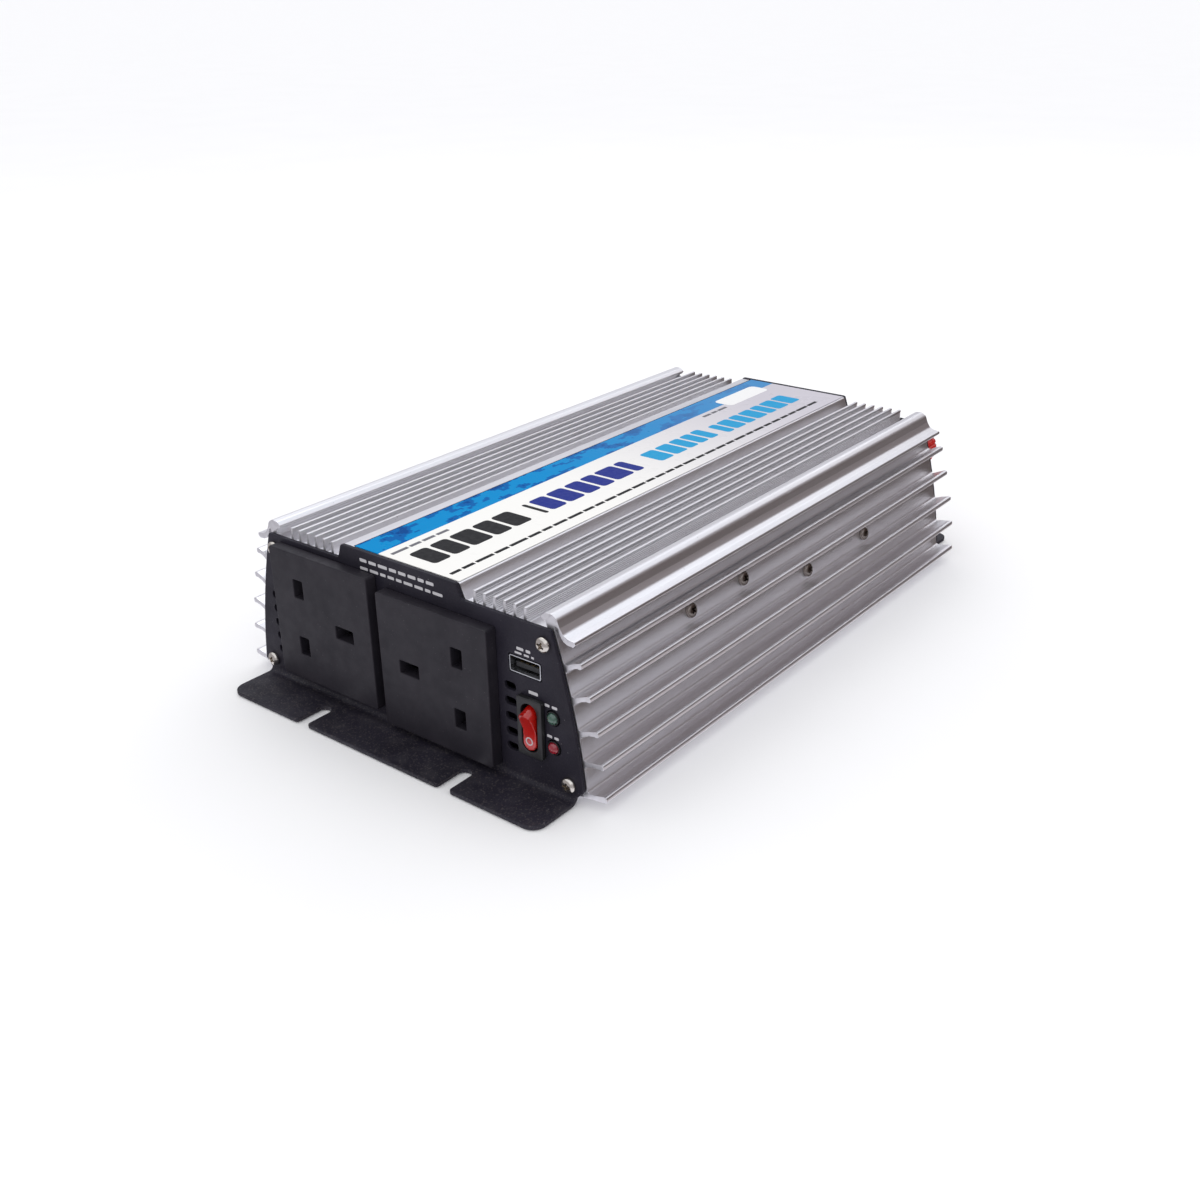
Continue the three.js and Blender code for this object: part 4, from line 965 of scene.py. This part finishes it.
def on_plate(start, end, height, thick):
    return behind_plate(box_loop((start + end) / 2, height, end - start, thick, 0.25 * thick, 2),
                        -0.03, 0.1)


LABEL_FACE = 63.55            # height of the film's printed side


def inked(outline, thickness):
    shape = plate_shape(outline, [], thickness)
    for vert in shape.verts:
        vert.co = (vert.co + Vector((0, 0, LABEL_FACE))) * MM
    return shape


def on_label(start, end, across, thick):
    return inked(box_loop(across, (start + end) / 2, thick, end - start, 0.12 * thick, 3), 0.05)


random.seed(11)
dashes("plate_marks", WHITE_INK, [
    (-17.4, 17.0, 60.4, 1.15, 3.4),
    (-17.5, 20.7, 57.5, 1.05, 3.4),
    (51.2, 56.8, 48.6, 1.0, 2.2),
    (50.4, 58.2, 47.0, 0.7, 2.6),
    (55.4, 59.2, 34.7, 1.15, 3.8),
    (61.8, 68.4, 32.3, 0.95, 2.6),
    (62.3, 67.9, 21.6, 0.95, 2.4),
], on_plate, "plate_steel")
for kind, ink, rows in (
        ("black", BLACK_INK, [(-117.5, -66, 4.6, 12.6, 8.0)]),
        ("blue", BLUE_INK, [(-58.5, -4, 4.8, 12.4, 8.0)]),
        ("cyan", CYAN_INK, [(6, 46, 6.0, 11.4, 7.0), (51, 110, 7.6, 11.0, 6.5)]),
        ("fine", BLACK_INK, [(-120.5, 109, 20.6, 1.5, 6.5), (-62.5, -60.5, 5.0, 12, 2)]),
        ("grey", GREY_INK, [(-120.5, -94, -6.2, 1.5, 6.0), (62, 82, -7.2, 1.5, 5.0)])):
    dashes(f"label_marks_{kind}", ink, rows, on_label, "label_film")
badge = inked(box_loop(-11.0, 98.0, 9.5, 31.0, 2.4), 0.06)
stand_in(shaped("label_blank_badge", badge, PALE_INK), slot="label_film")

# ------------------------ battery end


def along_y(piece, x, z):
    """Lays a piece that was turned about Z along +Y, through that place."""
    piece.matrix_world = (Matrix.Translation(Vector((x, 0, z)) * MM)
                          @ Matrix.Rotation(math.radians(-90), 4, "X"))


def knob_shape(flutes=24, steps=192):
    """A fluted knob with a chamfered rim, a shallow dished end and a bore for its stud."""
    shape = bmesh.new()
    rings = []
    for scale, height in ((0.94, 129.7), (1.0, 130.3), (1.0, 140.3), (0.985, 140.9),
                          (0.93, 141.5), (0.86, 141.8)):
        ring = []
        for i in range(steps):
            angle = 2 * math.pi * i / steps
            flute = max(0.0, math.cos(flutes * angle)) ** 0.7
            radius = (9.2 - 0.55 * flute * min(1.0, 12 * (scale - 0.9))) * scale
            ring.append(shape.verts.new((radius * math.cos(angle) * MM,
                                         radius * math.sin(angle) * MM, height * MM)))
        rings.append(ring)
    dish = [turned_ring(shape, *at, steps) for at in ((6.2, 141.8), (5.6, 141.35), (0, 141.2))]
    bore = [turned_ring(shape, *at, steps) for at in ((3.4, 129.7), (3.4, 139.8), (0, 139.8))]
    skin(shape, rings + dish)
    skin(shape, rings[:1] + bore)
    return shape


def stud_shape(pitch=0.7):
    """A stud with thread-like rings, a chamfered tip and a hexagon head."""
    profile = [(0, 106)]
    y = 106.5
    while y < 138.4:
        profile += [(2.72, y), (3.0, y + pitch / 2)]
        y += pitch
    profile += [(2.7, 138.8), (2.3, 139.2), (0, 139.2)]
    head = turned([(0, 112), (6.1, 112), (6.35, 112.3), (6.35, 115.7), (6.1, 116), (0, 116)], 6)
    return joined(turned(profile, 28), head)


def terminal(color, paint):
    base = turned([(3.4, 120), (5.3, 120), (5.5, 120.2), (5.5, 124.8), (9.1, 124.9), (9.5, 125.3),
                   (9.5, 127.3), (9.2, 127.75), (8.8, 127.9), (3.4, 127.9), (3.4, 120)], 56)
    washer = turned([(3.4, 128.2), (6.8, 128.2), (7.0, 128.4), (7.0, 129.2), (6.8, 129.4),
                     (3.4, 129.4), (3.4, 128.2)], 48)
    parts = (
        ("base", base, paint, ROOT, f"terminal_{color}"),
        ("stud", stud_shape(), BRASS, ROOT, "terminal_brass"),
        ("washer", washer, BRASS, f"{color}_washer", "terminal_brass"),
        ("knob", knob_shape(), paint, f"{color}_knob", f"terminal_{color}"),
    )
    for part, shape, finish, body, slot in parts:
        piece = shaped(f"battery_{part}_{color}", shape, finish, 32)
        along_y(piece, TERMINALS[color], TERMINAL_Z)
        stand_in(piece, f"terminal_{color}_{part}", body=body, slot=slot)


terminal("red", TERMINAL_RED)
terminal("black", TERMINAL_BLACK)

BLADES = 7
BLADE_ROOT = 11.6
BLADE_TIP = 22.8
BLADE_MIDDLE = 117.3          # along the fan's axis


def strip(shape, low, high):
    """Faces between two open rows of vertices."""
    for i in range(len(low) - 1):
        shape.faces.new((low[i], low[i + 1], high[i + 1], high[i]))


def fan_blade(turn, steps=8):
    """A thin curved blade, twisted from its root to its tip."""
    shape = bmesh.new()
    skins = []
    for face in (-1, 1):
        rows = []
        for i in range(steps + 1):
            out = i / steps
            radius = BLADE_ROOT + (BLADE_TIP - BLADE_ROOT) * out
            twist = math.radians(48 - 16 * out)
            chord = 8.2 + 1.6 * out
            row = []
            for j in range(steps + 1):
                t = j / steps - 0.5
                off = 0.9 * (0.25 - t * t) + face * 0.45 * math.sqrt(max(0.08, 1 - 4 * t * t))
                sweep = t * chord * math.cos(twist) + off * math.sin(twist)
                rise = t * chord * math.sin(twist) - off * math.cos(twist)
                angle = turn + sweep / radius
                row.append(shape.verts.new((radius * math.cos(angle) * MM,
                                            radius * math.sin(angle) * MM,
                                            (BLADE_MIDDLE + rise * 0.8) * MM)))
            rows.append(row)
        for low, high in zip(rows, rows[1:]):
            strip(shape, low, high)
        skins.append(rows)
    for end in (0, -1):
        strip(shape, *[rows[end] for rows in skins])
        strip(shape, *[[row[end] for row in rows] for rows in skins])
    return shape


def fan_rotor():
    hub = turned([(10.4, 112), (11.8, 112), (12.0, 112.2), (12.0, 120.8), (11.7, 121.4),
                  (11.0, 121.6), (0, 121.6), (0, 117), (10.4, 117), (10.4, 112)], 48)
    shaft = turned([(0, 108.2), (1.4, 108.2), (1.5, 108.4), (1.5, 117.5), (0, 117.5)], 20)
    blades = [fan_blade(2 * math.pi * number / BLADES) for number in range(BLADES)]
    piece = shaped("fan_impeller", joined(hub, shaft, *blades), FAN_BLACK, 35)
    along_y(piece, *FAN)
    stand_in(piece, "fan_rotor", body="fan", slot="fan_plastic")


fan_rotor()
refined("fan_frame", FAN_BLACK, 0.3, 3, slot="fan_plastic")

# ------------------------ the rest of the CAD nodes

for station in ("front", "rear"):
    refined(f"transistor_bank_{station}", EPOXY, 0.25, slot="transistor_body")
    refined(f"clamp_bar_{station}", TINNED, 0.3, slot="tinned_steel")
refined("main_board", BOARD, 0.1, slot="board_green")
refined("transformer_core", FERRITE, 0.5, slot="ferrite")
refined("transformer_winding", TAPE, 0.5, slot="winding_tape")
for node in ("input_capacitor_a", "input_capacitor_b", "bus_capacitor"):
    refined(node, SLEEVE, 0.3, slot="capacitor_sleeve")
refined("base_cover", ALUMINIUM, 0.15, slot="case_aluminium")
refined("top_label", LABEL, 0.05, slot="label_film")

# ------------------------ floor and light


def floor():
    shape = bmesh.new()
    bmesh.ops.create_grid(shape, x_segments=1, y_segments=1, size=80.0)
    mesh = bpy.data.meshes.new("floor")
    shape.to_mesh(mesh)
    shape.free()
    paint = Paint("floor_paper")
    paint.color(paint.mix(paint.noise(8), (0.90, 0.90, 0.905), (0.93, 0.93, 0.935)))
    paint.roughness(paint.gloss(0.75, 0.85, 30))
    mesh.materials.append(paint.material)
    ground = placed("floor", mesh)
    ground.location.z = -0.3 * MM      # just clear of the feet
    ground.visible_glossy = False


def softbox(name, place, target, size, power):
    lamp_data = bpy.data.lights.new(name, "AREA")
    lamp_data.shape = "RECTANGLE"
    lamp_data.size, lamp_data.size_y = size
    lamp_data.energy = power
    box = placed(name, lamp_data)
    box.location = place
    aim = Vector(target) - Vector(place)
    box.rotation_euler = aim.to_track_quat("-Z", "Y").to_euler()


floor()
softbox("key", (-0.5, 0.3, 1.1), (0, 0, 0.03), (0.7, 0.7), 1.6)
softbox("back", (0.0, 1.3, 0.95), (0, 0, 0.05), (0.9, 0.25), 0.8)
softbox("fill", (0.5, -1.3, 0.5), (0, -0.05, 0.03), (0.8, 0.5), 0.6)


def studio():
    """A white room with a dim warm band level with the object on the side that its right
    flank faces. The camera sees plain white past the floor."""
    world = bpy.data.worlds.new("studio")
    bpy.context.scene.world = world
    world.use_nodes = True
    sky = Nodes(world.node_tree, "Generated")
    across, along, height = sky.axes()
    dark = sky.ramp(sky.math("ADD", across, along), 0.6, 1.3)
    wall = sky.mix(sky.ramp(height, 0.15, 0.40), (0.080, 0.060, 0.056), (0.21, 0.165, 0.165))
    band = sky.mix(dark, (0.46, 0.45, 0.485), wall)
    ground = sky.mix(dark, (0.92, 0.92, 1.0), (0.70, 0.64, 0.655))
    low = sky.mix(sky.ramp(height, -0.46, -0.39), ground, band)
    rise = sky.math("SUBTRACT", height, sky.math("MULTIPLY", dark, 0.25))
    room = sky.mix(sky.ramp(rise, 0.33, 0.64), low, (1.02, 1.06, 1.14))
    rays = sky.add("LightPath")
    lit = sky.mix(rays.outputs["Is Glossy Ray"], (1.08, 1.08, 1.10), room)
    seen = sky.mix(rays.outputs["Is Camera Ray"], lit, (1.0, 1.0, 1.0))
    sky.link(seen, sky.tree.nodes["Background"].inputs["Color"])


studio()

bpy.context.scene.view_settings.view_transform = "Standard"
